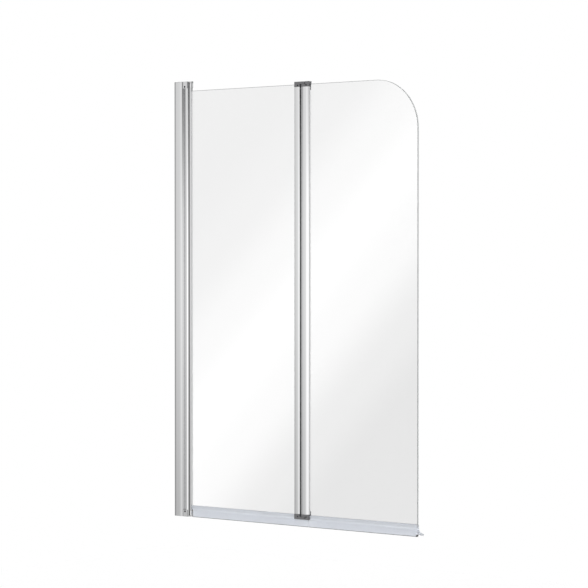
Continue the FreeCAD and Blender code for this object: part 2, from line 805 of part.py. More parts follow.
def hinge_seal_strip():
    """The soft strip in the inner hinge stile's flat end, beside the barrel."""
    def bead(stem):
        return [(inner_stile_end + dim["strip_stand"], stem)]

    strip = seal_strip("hinge_strip", inner_stile_end, lower_block_top, upper_block_foot, bead, x=fold_axis)
    piece(strip, "hinge_seal_strip")


# ---------------------------------------------------------------------------------------------
# Fold hinge end blocks
# ---------------------------------------------------------------------------------------------
def rounded_box_corners(start, end, half, edge):
    """Return the outline of a rounded rectangle between two X values, as an upper half."""
    return [
        (start, half - edge, -edge),
        (start + edge, half),
        (end - edge, half, -edge),
        (end, half - edge),
    ]


def knuckle_outline(root):
    """Return the outline of a knuckle: a half round on the fold axis with straight sides to x = root."""
    radius = stile_half
    if root.value < 0:
        return [
            (root, -radius),
            (Size.of(0), -radius, radius),
            (radius, Size.of(0), radius),
            (Size.of(0), radius),
            (root, radius),
        ]
    return [
        (root, radius),
        (Size.of(0), radius, radius),
        (-radius, Size.of(0), radius),
        (Size.of(0), -radius),
        (root, -radius),
    ]


def hinge_block(label, near, far, slot_end, foot, upper, knuckle_outside, bore_radius, clamp_setback,
                screw_setback):
    """One end block of the fold hinge, over the end of a stile and the corner of its glass.

    near and far are the X of the block's faces from the fold axis, near being the one beside it.
    upper says which end of the hinge it is at, and knuckle_outside whether its knuckle is the outer
    of the two, away from the stiles.
    """
    side = 1 if far.value > near.value else -1
    span = (near, far) if side > 0 else (far, near)
    top = foot + dim["block_height"]
    body = extrusion(label + "_body", dim["block_height"],
                     [mirrored(rounded_box_corners(*span, block_half, dim["stile_edge_radius"]))],
                     x=fold_axis, z=foot)
    knuckle_at_top = upper == knuckle_outside
    knuckle_foot = top - knuckle_height if knuckle_at_top else foot
    root = near + dim["stile_edge_radius"] * 2 * side
    knuckle = extrusion(label + "_knuckle", knuckle_height, [knuckle_outline(root)],
                        x=fold_axis, z=knuckle_foot)
    blank = fused(label + "_blank", [body, knuckle])
    play = dim["block_glass_play"]
    beyond = dim["block_height"]
    slot_x = sorted_pair(slot_end - play * side, far + play * side * 2)
    slot_z = (foot - beyond, glass_top + play) if upper else (glass_foot - play, top + beyond)
    tools = [
        box(label + "_slot", (fold_axis + slot_x[0], fold_axis + slot_x[1]),
            (-glass_half - play, glass_half + play), slot_z),
        rod(label + "_bore", bore_radius, dim["block_height"] * 3, x=fold_axis, z=foot - beyond),
        rod(label + "_clamp_hole", dim["clamp_screw_radius"], stile_half,
            x=fold_axis + clamp_setback * side, y=-block_half, z=clamp_level(upper), way=TO_BATH),
    ]
    for number, place_y in enumerate((dim["block_screw_offset"], -dim["block_screw_offset"]), start=1):
        head_level = top if upper else foot
        way = DOWN if upper else UP
        tools.append(rod(f"{label}_screw_hole_{number}", dim["screw_port_radius"],
                         dim["block_height"] * 2, x=fold_axis + screw_setback * side, y=place_y,
                         z=head_level, way=way))
        tools.append(cone(f"{label}_screw_seat_{number}", dim["block_screw_head_radius"],
                          dim["screw_port_radius"], dim["block_screw_head"],
                          x=fold_axis + screw_setback * side, y=place_y, z=head_level, way=way))
    piece(cut(label + "_block", blank, tools), label)


def sorted_pair(first, second):
    """Return two sizes with the smaller first."""
    return (first, second) if first.value < second.value else (second, first)


def clamp_level(upper):
    """Return the height of the clamp screws at the upper or the lower end of the glass."""
    return glass_top - dim["clamp_screw_inset"] if upper else glass_foot + dim["clamp_screw_inset"]


def clamp_screws(label, setback, side):
    """Grub screws in the blocks' room side, which bear on the glass."""
    screws = []
    for name, upper in (("lower", False), ("upper", True)):
        start = block_half - dim["clamp_screw_recess"]
        shank = rod(f"{label}_{name}_shank", dim["clamp_screw_radius"], start - glass_half,
                    x=fold_axis + setback * side, y=-start, z=clamp_level(upper), way=TO_BATH)
        socket = rod(f"{label}_{name}_socket", dim["clamp_screw_socket_radius"],
                     dim["clamp_screw_socket_depth"],
                     x=fold_axis + setback * side, y=-start, z=clamp_level(upper), way=TO_BATH)
        screws.append(cut(f"{label}_{name}", shank, [socket]))
    piece(group(label + "_set", screws), label)


def block_screws(label, setback, side):
    """Countersunk screws, two through each block into its stile."""
    screws = []
    length = dim["block_height"] + dim["block_screw_grip"]
    levels = (("lower", dim["block_foot"], UP), ("upper", glass_top + dim["block_rise"], DOWN))
    for name, level, way in levels:
        for number, y in enumerate((dim["block_screw_offset"], -dim["block_screw_offset"]), start=1):
            x = fold_axis + setback * side
            shank = rod(f"{label}_{name}_shank_{number}", dim["screw_port_radius"], length,
                        x=x, y=y, z=level, way=way)
            head = cone(f"{label}_{name}_head_{number}", dim["block_screw_head_radius"],
                        dim["screw_port_radius"], dim["block_screw_head"], x=x, y=y, z=level, way=way)
            drive = rod(f"{label}_{name}_drive_{number}", dim["screw_port_radius"] / 2,
                        dim["block_screw_head"], x=x, y=y, z=level, way=way)
            blank = fused(f"{label}_{name}_blank_{number}", [shank, head])
            screws.append(cut(f"{label}_{name}_{number}", blank, [drive]))
    piece(group(label + "_set", screws), label)


def fold_pivot_pins():
    """Pins pressed into the inner panel's knuckles, which the outer panel turns on."""
    length = dim["block_height"] - dim["fold_pin_recess"]
    lower = rod("lower_fold_pin", dim["fold_pin_radius"], length,
                x=fold_axis, z=dim["block_foot"] + dim["fold_pin_recess"])
    upper = rod("upper_fold_pin", dim["fold_pin_radius"], length, x=fold_axis, z=upper_block_foot)
    piece(group("fold_pin_set", [lower, upper]), "fold_pivot_pins")


def outer_knuckle_levels():
    """Return the foot of the outer panel's lower and upper knuckles, which lie next to the stiles."""
    return lower_block_top - knuckle_height, upper_block_foot


def fold_pivot_bushes():
    """Plain bushes in the outer panel's knuckles."""
    bushes = []
    for name, foot in zip(("lower", "upper"), outer_knuckle_levels()):
        sleeve = rod(name + "_fold_sleeve", dim["fold_bush_radius"], knuckle_height, x=fold_axis, z=foot)
        bore = rod(name + "_fold_bore", dim["fold_pin_radius"] + dim["pin_running_clearance"],
                   knuckle_height * 2, x=fold_axis, z=foot - knuckle_height / 2)
        bushes.append(cut(name + "_fold_bush", sleeve, [bore]))
    piece(group("fold_bush_set", bushes), "fold_pivot_bushes")


def fold_washers():
    """Thin washers on the outer panel's knuckles, under and over the inner panel's."""
    washers = []
    lower, upper = outer_knuckle_levels()
    for name, foot in (("lower", lower - dim["fold_washer"]), ("upper", upper + knuckle_height)):
        disc = rod(name + "_washer_disc", dim["fold_washer_radius"], dim["fold_washer"],
                   x=fold_axis, z=foot)
        bore = rod(name + "_washer_bore", dim["fold_pin_radius"] + dim["pin_running_clearance"],
                   dim["fold_washer"] * 3, x=fold_axis, z=foot - dim["fold_washer"])
        washers.append(cut(name + "_washer", disc, [bore]))
    piece(group("fold_washer_set", washers), "fold_washers")


# ---------------------------------------------------------------------------------------------
# Outer panel
# ---------------------------------------------------------------------------------------------
def outer_hinge_stile():
    """The bullet-shaped stile on the outer glass: its round nose is the barrel of the fold hinge."""
    radius = stile_half
    tail = dim["outer_stile_tail"]
    edge = dim["stile_edge_radius"]
    outline = [
        (Size.of(0), radius, radius),
        (-radius, Size.of(0), radius),
        (Size.of(0), -radius),
        (tail - edge, -radius, edge),
        (tail, -radius + edge),
        (tail, -slot_half),
        (outer_slot_end, -slot_half),
        (outer_slot_end, slot_half),
        (tail, slot_half),
        (tail, radius - edge, edge),
        (tail - edge, radius),
    ]
    offset = dim["block_screw_offset"]
    ports = [(dim["screw_port_radius"], dim["outer_block_screw_setback"], side)
             for side in (offset, -offset)]
    ports.append((dim["barrel_bore_radius"],))
    body = extrusion("outer_stile_body", upper_block_foot - lower_block_top, [outline],
                     circles=ports, x=fold_axis, z=lower_block_top)
    piece(body, "outer_hinge_stile")


# ---------------------------------------------------------------------------------------------
# Bottom seals
# ---------------------------------------------------------------------------------------------
def seal_grip_half():
    """Return half the thickness of the seal's grip."""
    return glass_half + dim["seal_wall"]


def seal_spine_foot():
    """Return the height of the spine's underside above the bath rim."""
    return glass_foot - dim["seal_spine_drop"]


def seal_front_outline():
    """Return the section of the grip, the spine and the front wiper, as (Y, Z) corners."""
    grip = seal_grip_half()
    top = glass_foot + dim["seal_grip_rise"]
    lead = dim["seal_lead"]
    wiper = grip + dim["seal_wiper_step"]
    back = wiper - dim["seal_wiper_thickness"]
    spine = seal_spine_foot()
    return [
        (-glass_half, top),
        (-grip, top - lead),
        (-grip, glass_foot - lead),
        (-wiper, spine + lead),
        (-wiper, Size.of(0)),
        (-back, Size.of(0)),
        (-back, spine),
        (grip, spine),
        (grip, top - lead),
        (glass_half, top),
        (glass_half, glass_foot),
        (-glass_half, glass_foot),
    ]


def seal_fin_outline():
    """Return the section of the curved skirt and the long fin behind the glass, as (Y, Z) corners."""
    grip = seal_grip_half()
    spine = seal_spine_foot()
    wall = dim["seal_wall"]
    reach = dim["seal_skirt_reach"]
    rise = dim["seal_skirt_rise"]
    tip = dim["seal_fin_reach"]
    tip_rise = dim["seal_fin_rise"]
    thickness = dim["seal_fin_thickness"]
    return [
        (grip - wall, spine, dim["seal_skirt_inner_radius"]),
        (reach - wall, rise - thickness / 2),
        (tip - thickness / 2, tip_rise - thickness / 2, thickness / 2),
        (tip, tip_rise, thickness / 2),
        (tip - thickness / 2, tip_rise + thickness / 2),
        (reach + wall, rise + thickness / 2, -dim["seal_skirt_outer_radius"]),
        (grip, glass_foot - dim["seal_lead"]),
        (grip - wall, glass_foot - dim["seal_lead"]),
    ]


def bottom_seal(label, start, end, fin_start, fin_end, notches):
    """A clear extruded seal on a glass's bottom edge, with its fin cut back at the hinges."""
    front = extrusion(label + "_front", end - start, [seal_front_outline()], plane="YZ_Plane", x=start)
    fin = extrusion(label + "_fin", fin_end - fin_start, [seal_fin_outline()], plane="YZ_Plane",
                    x=fin_start)
    piece(cut(label + "_trimmed", fused(label + "_blank", [front, fin]), notches), label)


def inner_bottom_seal():
    """The seal under the inner glass; its wiper runs on under the fold hinge to the seam."""
    half = dim["stile_thickness"]
    start = wall_axis + dim["wall_stile_tail"] + dim["gasket_stand"] + dim["seal_end_gap"]
    end = fold_axis + dim["seal_seam"]
    under_hinge = dim["block_foot"] - dim["seal_end_gap"]
    hinge_start = fold_axis + inner_stile_start - dim["gasket_stand"] - dim["seal_end_gap"]
    notches = [
        box("inner_seal_foot_notch", (wall_axis, wall_axis + dim["seal_wall_start"]), (-half, half),
            (-half, dim["block_foot"] + dim["seal_lead"])),
        box("inner_seal_hinge_notch", (hinge_start, end + half), (-half, half),
            (under_hinge, under_hinge + half)),
    ]
    bottom_seal("inner_bottom_seal", start, end, wall_axis + dim["seal_wall_fin_trim"],
                fold_axis - dim["seal_fin_trim"], notches)


def outer_bottom_seal():
    """The seal under the outer glass, from the seam to the free edge."""
    half = dim["stile_thickness"]
    start = fold_axis + dim["seal_seam"] + dim["seal_seam_gap"]
    under_hinge = dim["block_foot"] - dim["seal_end_gap"]
    hinge_end = fold_axis + dim["outer_stile_tail"] + dim["gasket_stand"] + dim["seal_end_gap"]
    notches = [
        box("outer_seal_hinge_notch", (start - half, hinge_end), (-half, half),
            (under_hinge, under_hinge + half)),
    ]
    bottom_seal("outer_bottom_seal", start, free_edge, fold_axis + dim["seal_fin_trim"], free_edge,
                notches)


# ---------------------------------------------------------------------------------------------
# Build
# ---------------------------------------------------------------------------------------------
wall_channel()
channel_top_cap()
pivot_post()
post_seal_strip()
adjusting_screws()
pivot_bracket("top_pivot_bracket", height, height - dim["bracket_height"])
pivot_bracket("bottom_pivot_bracket", Size.of(0), dim["bracket_height"])
bracket_screws()
wall_pivot_pins()

wall_stile()
wall_stile_cap("wall_stile_bottom_cap", cap_foot, cap_foot)
wall_stile_cap("wall_stile_top_cap", height - stile_foot, height - cap_foot)
wall_pivot_bushes()
glass_gasket("wall_stile_gasket", wall_slot_end, dim["wall_stile_tail"], wall_axis,
             glass_foot, glass_top)
glass_pane("inner_glass", wall_axis + wall_slot_end + dim["gasket_web"],
           fold_axis + inner_slot_end - dim["gasket_web"], None)
inner_hinge_stile()
glass_gasket("inner_stile_gasket", inner_slot_end, inner_stile_start, fold_axis,
             lower_block_top, upper_block_foot)
hinge_seal_strip()
inner_block = {
    "near": inner_stile_end, "far": inner_stile_start, "slot_end": inner_slot_end,
    "knuckle_outside": True, "bore_radius": dim["fold_pin_radius"],
    "clamp_setback": dim["inner_clamp_setback"], "screw_setback": dim["inner_block_screw_setback"],
}
hinge_block("inner_top_block", foot=upper_block_foot, upper=True, **inner_block)
hinge_block("inner_bottom_block", foot=dim["block_foot"], upper=False, **inner_block)
clamp_screws("inner_clamp_screws", dim["inner_clamp_setback"], -1)
block_screws("inner_block_screws", dim["inner_block_screw_setback"], -1)
fold_pivot_pins()
inner_bottom_seal()

outer_hinge_stile()
glass_gasket("outer_stile_gasket", outer_slot_end, dim["outer_stile_tail"], fold_axis,
             lower_block_top, upper_block_foot)
outer_block = {
    "near": -inner_stile_end, "far": dim["outer_stile_tail"], "slot_end": outer_slot_end,
    "knuckle_outside": False, "bore_radius": dim["fold_bush_radius"],
    "clamp_setback": dim["outer_clamp_setback"], "screw_setback": dim["outer_block_screw_setback"],
}
hinge_block("outer_top_block", foot=upper_block_foot, upper=True, **outer_block)
hinge_block("outer_bottom_block", foot=dim["block_foot"], upper=False, **outer_block)
clamp_screws("outer_clamp_screws", dim["outer_clamp_setback"], 1)
block_screws("outer_block_screws", dim["outer_block_screw_setback"], 1)
fold_pivot_bushes()
fold_washers()
glass_pane("outer_glass", fold_axis + outer_slot_end + dim["gasket_web"], free_edge,
           dim["glass_corner"])
outer_bottom_seal()

doc.recompute()

# ---------------------------------------------------------------------------------------------
# Check and export
# ---------------------------------------------------------------------------------------------
for thing in doc.Objects:
    if "Invalid" in thing.State or "Error" in thing.State:
        raise RuntimeError(f"{thing.Name} failed: {thing.State}")
for thing in pieces:
    if thing.Shape.isNull() or not thing.Shape.isValid() or not thing.Shape.Solids:
        raise RuntimeError(f"{thing.Label} has no valid solid")

os.makedirs("parts", exist_ok=True)
for thing in pieces:
    thing.Shape.exportStep(f"parts/{thing.Label}.step")
    solids = thing.Shape.Solids
    print(f"{thing.Label}: {len(solids)} solid(s), {thing.Shape.Volume:.0f} mm3")
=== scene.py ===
"""Studio scene of a folding bath screen, dressed over its fixed frame.

The profiles are rebuilt as fine extrusions with crowned faces and softened edges, the brackets and end
blocks keep the solids' forms with rounded edges, and the panes and bottom seals get clear materials.
Lengths in this file are millimetres in the frame's axes: X from the wall along the closed screen, Y from
the room towards the bath, Z up from the bath rim.
"""
import json
import logging
import math
from dataclasses import dataclass, field
from enum import Enum
from functools import cache
from typing import Callable, ClassVar, Iterable, Mapping, Sequence

import bmesh
import bpy
import numpy as np
from mathutils import Matrix, Vector


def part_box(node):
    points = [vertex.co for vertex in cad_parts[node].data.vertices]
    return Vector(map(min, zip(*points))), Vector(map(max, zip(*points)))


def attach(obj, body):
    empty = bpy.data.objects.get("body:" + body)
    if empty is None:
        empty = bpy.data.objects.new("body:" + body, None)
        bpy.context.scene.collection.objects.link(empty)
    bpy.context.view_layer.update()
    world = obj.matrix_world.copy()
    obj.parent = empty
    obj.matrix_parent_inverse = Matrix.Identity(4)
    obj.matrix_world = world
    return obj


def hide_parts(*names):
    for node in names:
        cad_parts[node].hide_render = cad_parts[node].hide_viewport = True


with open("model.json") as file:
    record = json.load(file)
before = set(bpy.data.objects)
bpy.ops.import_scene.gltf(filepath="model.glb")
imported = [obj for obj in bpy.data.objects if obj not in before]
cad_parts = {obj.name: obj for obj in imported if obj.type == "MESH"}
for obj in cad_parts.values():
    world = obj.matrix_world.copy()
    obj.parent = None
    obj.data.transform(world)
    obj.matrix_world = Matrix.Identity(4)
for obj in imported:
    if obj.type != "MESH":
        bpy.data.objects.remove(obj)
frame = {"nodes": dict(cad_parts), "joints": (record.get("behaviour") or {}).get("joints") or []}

log = logging.getLogger("bath_screen")

MM = 0.001
SMOOTH_ANGLE = math.radians(32.0)  # faces that turn less are shaded as one
EDGE_ANGLE = math.radians(40.0)  # edges of a copied solid that turn more are rounded
FLAT_ANGLE = math.radians(0.5)  # faces of a copied solid that turn less are merged
DOUBLE, SOLID_DOUBLE = 1e-6, 2e-6  # points this near are merged, in metres
Corner = Sequence[float]
Colour = tuple[float, float, float]
Stops = Sequence[tuple[float, "Colour | float"]]


class Body(str, Enum):
    """The rigid bodies that pieces ride on."""

    WALL = "wall_side"
    INNER = "inner_panel"
    OUTER = "outer_panel"


class Joint(str, Enum):
    """The upright hinges."""

    WALL = "wall_hinge"
    FOLD = "fold_hinge"


class Slot(str, Enum):
    """The record's material slots."""

    PROFILE = "chrome_profile"
    CASTING = "chrome_casting"
    SCREW = "screw_steel"
    GLASS = "clear_glass"
    SEAL = "clear_seal"
    STRIP = "soft_strip"
    BLOCK = "dark_plastic"
    PLASTIC = "grey_plastic"


class Axis(Enum):
    """The direction that a section is extruded in, with the axes that its own x and y lie along."""

    X = (1, 2, 0)
    Y = (0, 2, 1)
    Z = (0, 1, 2)


# Shader graphs
def operator(operation: str, swapped: bool = False) -> Callable[["Signal", "Signal | float"], "Signal"]:
    """Return a method that feeds a signal and another value to a Math node.

    Args:
        operation: the node's operation.
        swapped: whether the other value comes first.

    Returns:
        The method.
    """
    def method(self: "Signal", other: "Signal | float") -> "Signal":
        """Return the node's result."""
        return self.graph.maths(operation, *((other, self) if swapped else (self, other)))
    return method


class Signal:
    """A shader socket that can be used in arithmetic."""

    def __init__(self, graph: "Graph", socket: bpy.types.NodeSocket) -> None:
        """Wrap one socket of a graph."""
        self.graph = graph
        self.socket = socket

    __add__ = __radd__ = operator("ADD")
    __mul__ = __rmul__ = operator("MULTIPLY")
    __sub__ = operator("SUBTRACT")
    __rsub__ = operator("SUBTRACT", swapped=True)
    __truediv__ = operator("DIVIDE")
    maximum = operator("MAXIMUM")
    minimum = operator("MINIMUM")

    def __neg__(self) -> "Signal":
        """Return the signal with its sign changed."""
        return self * -1.0


class Graph:
    """A node tree that is built from an empty start."""

    def __init__(self, tree: bpy.types.NodeTree) -> None:
        """Empty a node tree and take it over."""
        self.tree = tree
        tree.nodes.clear()

    def node(self, kind: str, settings: Mapping[str, object] | None = None,
             inputs: Mapping[str | int, object] | None = None) -> bpy.types.Node:
        """Add a node.

        Args:
            kind: the node's type name.
            settings: the node's properties; "stops" gives a ramp's (place, colour or grey) stops and
                "easing" its interpolation.
            inputs: signals, sockets or values for the input sockets, by name or number.

        Returns:
            The new node.
        """
        made = self.tree.nodes.new(kind)
        for name, value in (settings or {}).items():
            if name == "stops":
                self._set_stops(made.color_ramp, value)
            elif name == "easing":
                made.color_ramp.interpolation = value
            else:
                setattr(made, name, value)
        for key, value in (inputs or {}).items():
            self.feed(made.inputs[key], value)
        return made

    @staticmethod
    def _set_stops(ramp: bpy.types.ColorRamp, stops: Stops) -> None:
        """Give a colour ramp its stops.

        Args:
            ramp: the ramp.
            stops: its (place, colour or grey) stops, by rising place.
        """
        while len(ramp.elements) < len(stops):
            ramp.elements.new(1.0)
        for element, (place, colour) in zip(ramp.elements, stops):
            element.position = place
            element.color = (*(colour if isinstance(colour, tuple) else (colour,) * 3), 1.0)

    def feed(self, target: bpy.types.NodeSocket, value: object) -> None:
        """Link a signal or socket to an input, or set the input's own value.

        Args:
            target: the input.
            value: the signal, socket or plain value.
        """
        if isinstance(value, Signal):
            value = value.socket
        if isinstance(value, bpy.types.NodeSocket):
            self.tree.links.new(value, target)
        else:
            target.default_value = value

    def signal(self, node: bpy.types.Node, output: str | int = 0) -> Signal:
        """Return one output of a node as a signal."""
        return Signal(self, node.outputs[output])

    def maths(self, operation: str, *values: Signal | float) -> Signal:
        """Return the result of a Math node."""
        return self.signal(self.node("ShaderNodeMath", {"operation": operation}, dict(enumerate(values))))

    def position(self) -> Signal:
        """Return the object coordinates, in metres."""
        return self.signal(self.node("ShaderNodeTexCoord"), "Object")

    def noise(self, along: Signal, scale: float) -> Signal:
        """Return a noise value from 0 to 1 with a mean of one half."""
        return self.signal(self.node("ShaderNodeTexNoise", None, {
            "Vector": along, "Scale": scale, "Detail": 2.0, "Roughness": 0.55}))

    def ramp(self, along: Signal, stops: Stops, easing: str = "LINEAR") -> Signal:
        """Return the colour of a ramp through (place, colour or grey) stops."""
        return self.signal(self.node("ShaderNodeValToRGB", {"stops": stops, "easing": easing},
                                     {"Fac": along}))

    def tint(self, amount: Signal, low: Colour, high: Colour) -> Signal:
        """Return a colour between two, by an amount from 0 to 1."""
        return self.signal(self.node("ShaderNodeMix", {"data_type": "RGBA"},
                                     {0: amount, 6: (*low, 1.0), 7: (*high, 1.0)}), 2)

    def camera_sees(self) -> Signal:
        """Return 1 for rays that come from the camera, straight or through clear pieces."""
        ray = self.node("ShaderNodeLightPath")
        return self.signal(ray, "Is Camera Ray").maximum(self.signal(ray, "Is Transmission Ray"))


# Finishes
@dataclass(frozen=True)
class Finish:
    """A surface finish that builds one material.

    Attributes:
        name: the material's name.
        colour: base colour, linear.
        roughness: mean roughness.
        variation: how far the base colour varies, as a share of itself.
        grain: noise scale for the variation, per metre.
        bump: height of the surface relief, in millimetres.
    """

    name: str
    colour: Colour
    roughness: float
    variation: float = 0.05
    grain: float = 60.0
    bump: float = 0.01

    @cache
    def material(self) -> bpy.types.Material:
        """Make the finish's material, once.

        Returns:
            The material, which later calls give again.
        """
        made = bpy.data.materials.new(self.name)
        made.use_nodes = True
        graph = Graph(made.node_tree)
        shader = graph.node("ShaderNodeBsdfPrincipled")
        graph.node("ShaderNodeOutputMaterial", None, {"Surface": shader.outputs["BSDF"]})
        self.shade(graph, shader)
        return made

    def spread(self, graph: Graph) -> Signal:
        """Return the noise that the colour and roughness follow."""
        return graph.noise(graph.position(), self.grain)

    def shade(self, graph: Graph, shader: bpy.types.Node) -> None:
        """Feed the shader's colour, roughness and relief from the noise.

        Args:
            graph: the material's graph.
            shader: its Principled node.
        """
        amount = self.spread(graph)
        low = tuple(c * (1 - self.variation) for c in self.colour)
        high = tuple(min(c * (1 + self.variation), 1.0) for c in self.colour)
        graph.feed(shader.inputs["Base Color"], graph.tint(amount, low, high))
        graph.feed(shader.inputs["Roughness"], self.roughness * (0.8 + 0.4 * amount))
        relief = graph.node("ShaderNodeBump", None, {
            "Strength": 0.6, "Distance": self.bump * MM, "Height": amount})
        graph.feed(shader.inputs["Normal"], relief.outputs["Normal"])


@dataclass(frozen=True)
class MetalFinish(Finish):
    """Metal, with faint draw lines where it is an extrusion.

    Attributes:
        lines: noise scale across the draw lines, per metre.
        STRETCH: factors on the coordinates that draw the lines out along Z.
        SHARES: shares of the draw lines and of the even noise.
    """

    lines: float = 0.0
    STRETCH: ClassVar[tuple[float, ...]] = (1.0, 1.0, 0.025)
    SHARES: ClassVar[tuple[float, ...]] = (0.65, 0.35)

    def spread(self, graph: Graph) -> Signal:
        """Mix noise that is drawn out along the extrusion with even noise.

        Args:
            graph: the material's graph.

        Returns:
            The mix, or even noise alone where there are no lines.
        """
        place = graph.position()
        if not self.lines:
            return graph.noise(place, self.grain)
        drawn = graph.signal(graph.node("ShaderNodeVectorMath", {"operation": "MULTIPLY"},
                                        {0: place, 1: self.STRETCH}))
        lined, even = self.SHARES
        return lined * graph.noise(drawn, self.lines) + even * graph.noise(place, self.grain)

    def shade(self, graph: Graph, shader: bpy.types.Node) -> None:
        """Feed the shader as any finish does, and make it metal."""
        super().shade(graph, shader)
        shader.inputs["Metallic"].default_value = 1.0


@dataclass(frozen=True)
class ClearFinish(Finish):
    """A clear solid, such as glass or soft clear plastic.

    Attributes:
        index: refractive index.
        clarity: share of the light that passes through rather than scatters.
    """

    index: float = 1.5
    clarity: float = 1.0

    def shade(self, graph: Graph, shader: bpy.types.Node) -> None:
        """Feed the shader as any finish does, and let light through; a polished one has no relief.

        Args:
            graph: the material's graph.
            shader: its Principled node.
        """
        super().shade(graph, shader)
        shader.inputs["IOR"].default_value = self.index
        shader.inputs["Transmission Weight"].default_value = self.clarity
        if self.roughness == 0.0:
            for name in ("Roughness", "Normal"):
                graph.tree.links.remove(shader.inputs[name].links[0])
            shader.inputs["Roughness"].default_value = 0.0


@dataclass(frozen=True)
class MouldedFinish(Finish):
    """Plastic or rubber with a fine moulded texture.

    Attributes:
        sheen: specular level.
    """

    sheen: float = 0.5

    def shade(self, graph: Graph, shader: bpy.types.Node) -> None:
        """Feed the shader as any finish does, and set how much it shines."""
        super().shade(graph, shader)
        shader.inputs["Specular IOR Level"].default_value = self.sheen


PROFILE = MetalFinish("bright_profile", (0.72, 0.722, 0.727), 0.09, 0.02, 24.0, 0.0012, lines=700.0)
CASTING = MetalFinish("bright_casting", (0.7, 0.702, 0.707), 0.12, 0.03, 160.0, 0.002)
STEEL = MetalFinish("screw_steel", (0.42, 0.42, 0.43), 0.34, 0.08, 400.0, 0.004)
BLACKENED = MetalFinish("blackened_screw", (0.05, 0.05, 0.055), 0.4, 0.1, 400.0, 0.004)
GLASS = ClearFinish("clear_glass", (0.83, 0.83, 0.83), 0.0, 0.002)
EDGE = ClearFinish("ground_glass_edge", (0.86, 0.88, 0.88), 0.3, 0.03, 300.0, 0.01, clarity=0.3)
# Painted shade: the arris is dark grey so the pane's rim shows the dark line that refraction gives a glass
# edge.
ARRIS_PAINTED_SHADE = ClearFinish("glass_arris_painted_shade", (0.18, 0.19, 0.19), 0.36, 0.05, 300.0, 0.01, clarity=0.6)
SEAL = ClearFinish("clear_seal", (0.87, 0.9, 0.955), 0.45, 0.02, 90.0, 0.02, index=1.45, clarity=0.4)
# Painted shade: this dark grey on the seal's bead and fin tip stands in for the shadow along the seal's lower
# edge.
SEAL_EDGE_PAINTED_SHADE = ClearFinish("seal_edge_painted_shade", (0.13, 0.135, 0.14), 0.35, 0.03, 120.0, 0.02, index=1.45, clarity=0.5)
# A near-black finish for the block at the outer seal's free end.
DARK_END_PIECE = MouldedFinish("dark_end_piece", (0.03, 0.03, 0.032), 0.5, 0.1, 300.0, 0.01, sheen=0.3)
STRIP = MouldedFinish("soft_strip", (0.3, 0.305, 0.31), 0.5, 0.06, 240.0, 0.01, sheen=0.4)
GASKET = MouldedFinish("pale_gasket", (0.8, 0.81, 0.82), 0.45, 0.04, 240.0, 0.01)
BLOCK = MouldedFinish("dark_block", (0.14, 0.14, 0.145), 0.42, 0.12, 700.0, 0.02, sheen=0.6)
PLASTIC = MouldedFinish("grey_plastic", (0.56, 0.565, 0.57), 0.4, 0.04, 300.0, 0.01)
SLOT_FINISH = {
    Slot.PROFILE: PROFILE, Slot.CASTING: CASTING, Slot.SCREW: STEEL, Slot.GLASS: GLASS,
    Slot.SEAL: SEAL, Slot.STRIP: STRIP, Slot.BLOCK: BLOCK, Slot.PLASTIC: PLASTIC,
}


# Sections
def mirrored(upper: Sequence[Corner]) -> list[Corner]:
    """Return an outline that is the same on both sides of its x axis.

    Args:
        upper: corners as (x, y) or (x, y, bend), where bend is the radius of the arc to the next
            corner, positive when it turns left.

    Returns:
        The corners of the whole outline.
    """
    lower = []
    for index in range(len(upper) - 1, -1, -1):
        x, y = upper[index][:2]
        bend = tuple(upper[index - 1][2:]) if index else ()
        lower.append((x, -y, *bend))
    return [*upper, *lower]


class Side:
    """One side of a section: a straight run, or an arc of a given radius, walked by its length.

    Attributes:
        STEP: angle between the points of an arc.
        SUPPORT: distance of the extra points that keep a straight run's shading flat, from its ends.
        SHORT: length of a run that gets no extra points.
    """

    STEP = math.radians(3.0)
    SUPPORT = 0.25
    SHORT = 1.6

    def __init__(self, start: Corner, end: Corner) -> None:
        """Measure the side.

        Args:
            start: corner (x, y) or (x, y, bend) that the side leaves.
            end: corner that it reaches.
        """
        self.start = np.array(start[:2], float)
        chord = np.array(end[:2], float) - self.start
        reach = float(np.hypot(*chord))
        self.way = chord / reach
        self.bend = float(start[2]) if len(start) > 2 else 0.0
        self.length = reach
        if self.bend:
            self.turn = math.copysign(1.0, self.bend)
            self.radius = max(abs(self.bend), reach / 2)
            left = np.array([-self.way[1], self.way[0]])
            rise = math.sqrt(max(self.radius**2 - reach**2 / 4, 0.0))
            self.centre = self.start + chord / 2 + left * self.turn * rise
            self.begin = math.atan2(*(self.start - self.centre)[::-1])
            self.length = 2 * self.radius * math.asin(min(reach / 2 / self.radius, 1.0))

    def at(self, walked: np.ndarray | float) -> np.ndarray:
        """Find points c + r (cos a, sin a) with a = begin + turn s / r on an arc, or p + s w on a run.

        Args:
            walked: lengths s from the side's start.

        Returns:
            The points, (n, 2).
        """
        walked = np.atleast_1d(np.asarray(walked, float))
        if not self.bend:
            return self.start + walked[:, None] * self.way
        angle = self.begin + self.turn * walked / self.radius
        return self.centre + self.radius * np.stack([np.cos(angle), np.sin(angle)], 1)

    def heading(self, walked: float) -> np.ndarray:
        """Find the side's direction (-sin a, cos a), turned with the arc, or w on a run.

        Args:
            walked: length from the side's start.

        Returns:
            The direction, of length one.
        """
        if not self.bend:
            return self.way
        angle = self.begin + self.turn * walked / self.radius
        return self.turn * np.array([-math.sin(angle), math.cos(angle)])

    def between(self, first: float, last: float) -> np.ndarray:
        """Find the points inside a stretch: even steps on an arc, or two near the ends of a long run.

        Args:
            first: where the stretch starts.
            last: where it ends.

        Returns:
            The points, without the stretch's own ends.
        """
        if self.bend:
            count = max(int(math.ceil((last - first) / self.radius / self.STEP)), 2)
            return self.at(np.linspace(first, last, count + 1)[1:-1])
        if last - first > self.SHORT:
            return self.at([first + self.SUPPORT, last - self.SUPPORT])
        return np.zeros((0, 2))


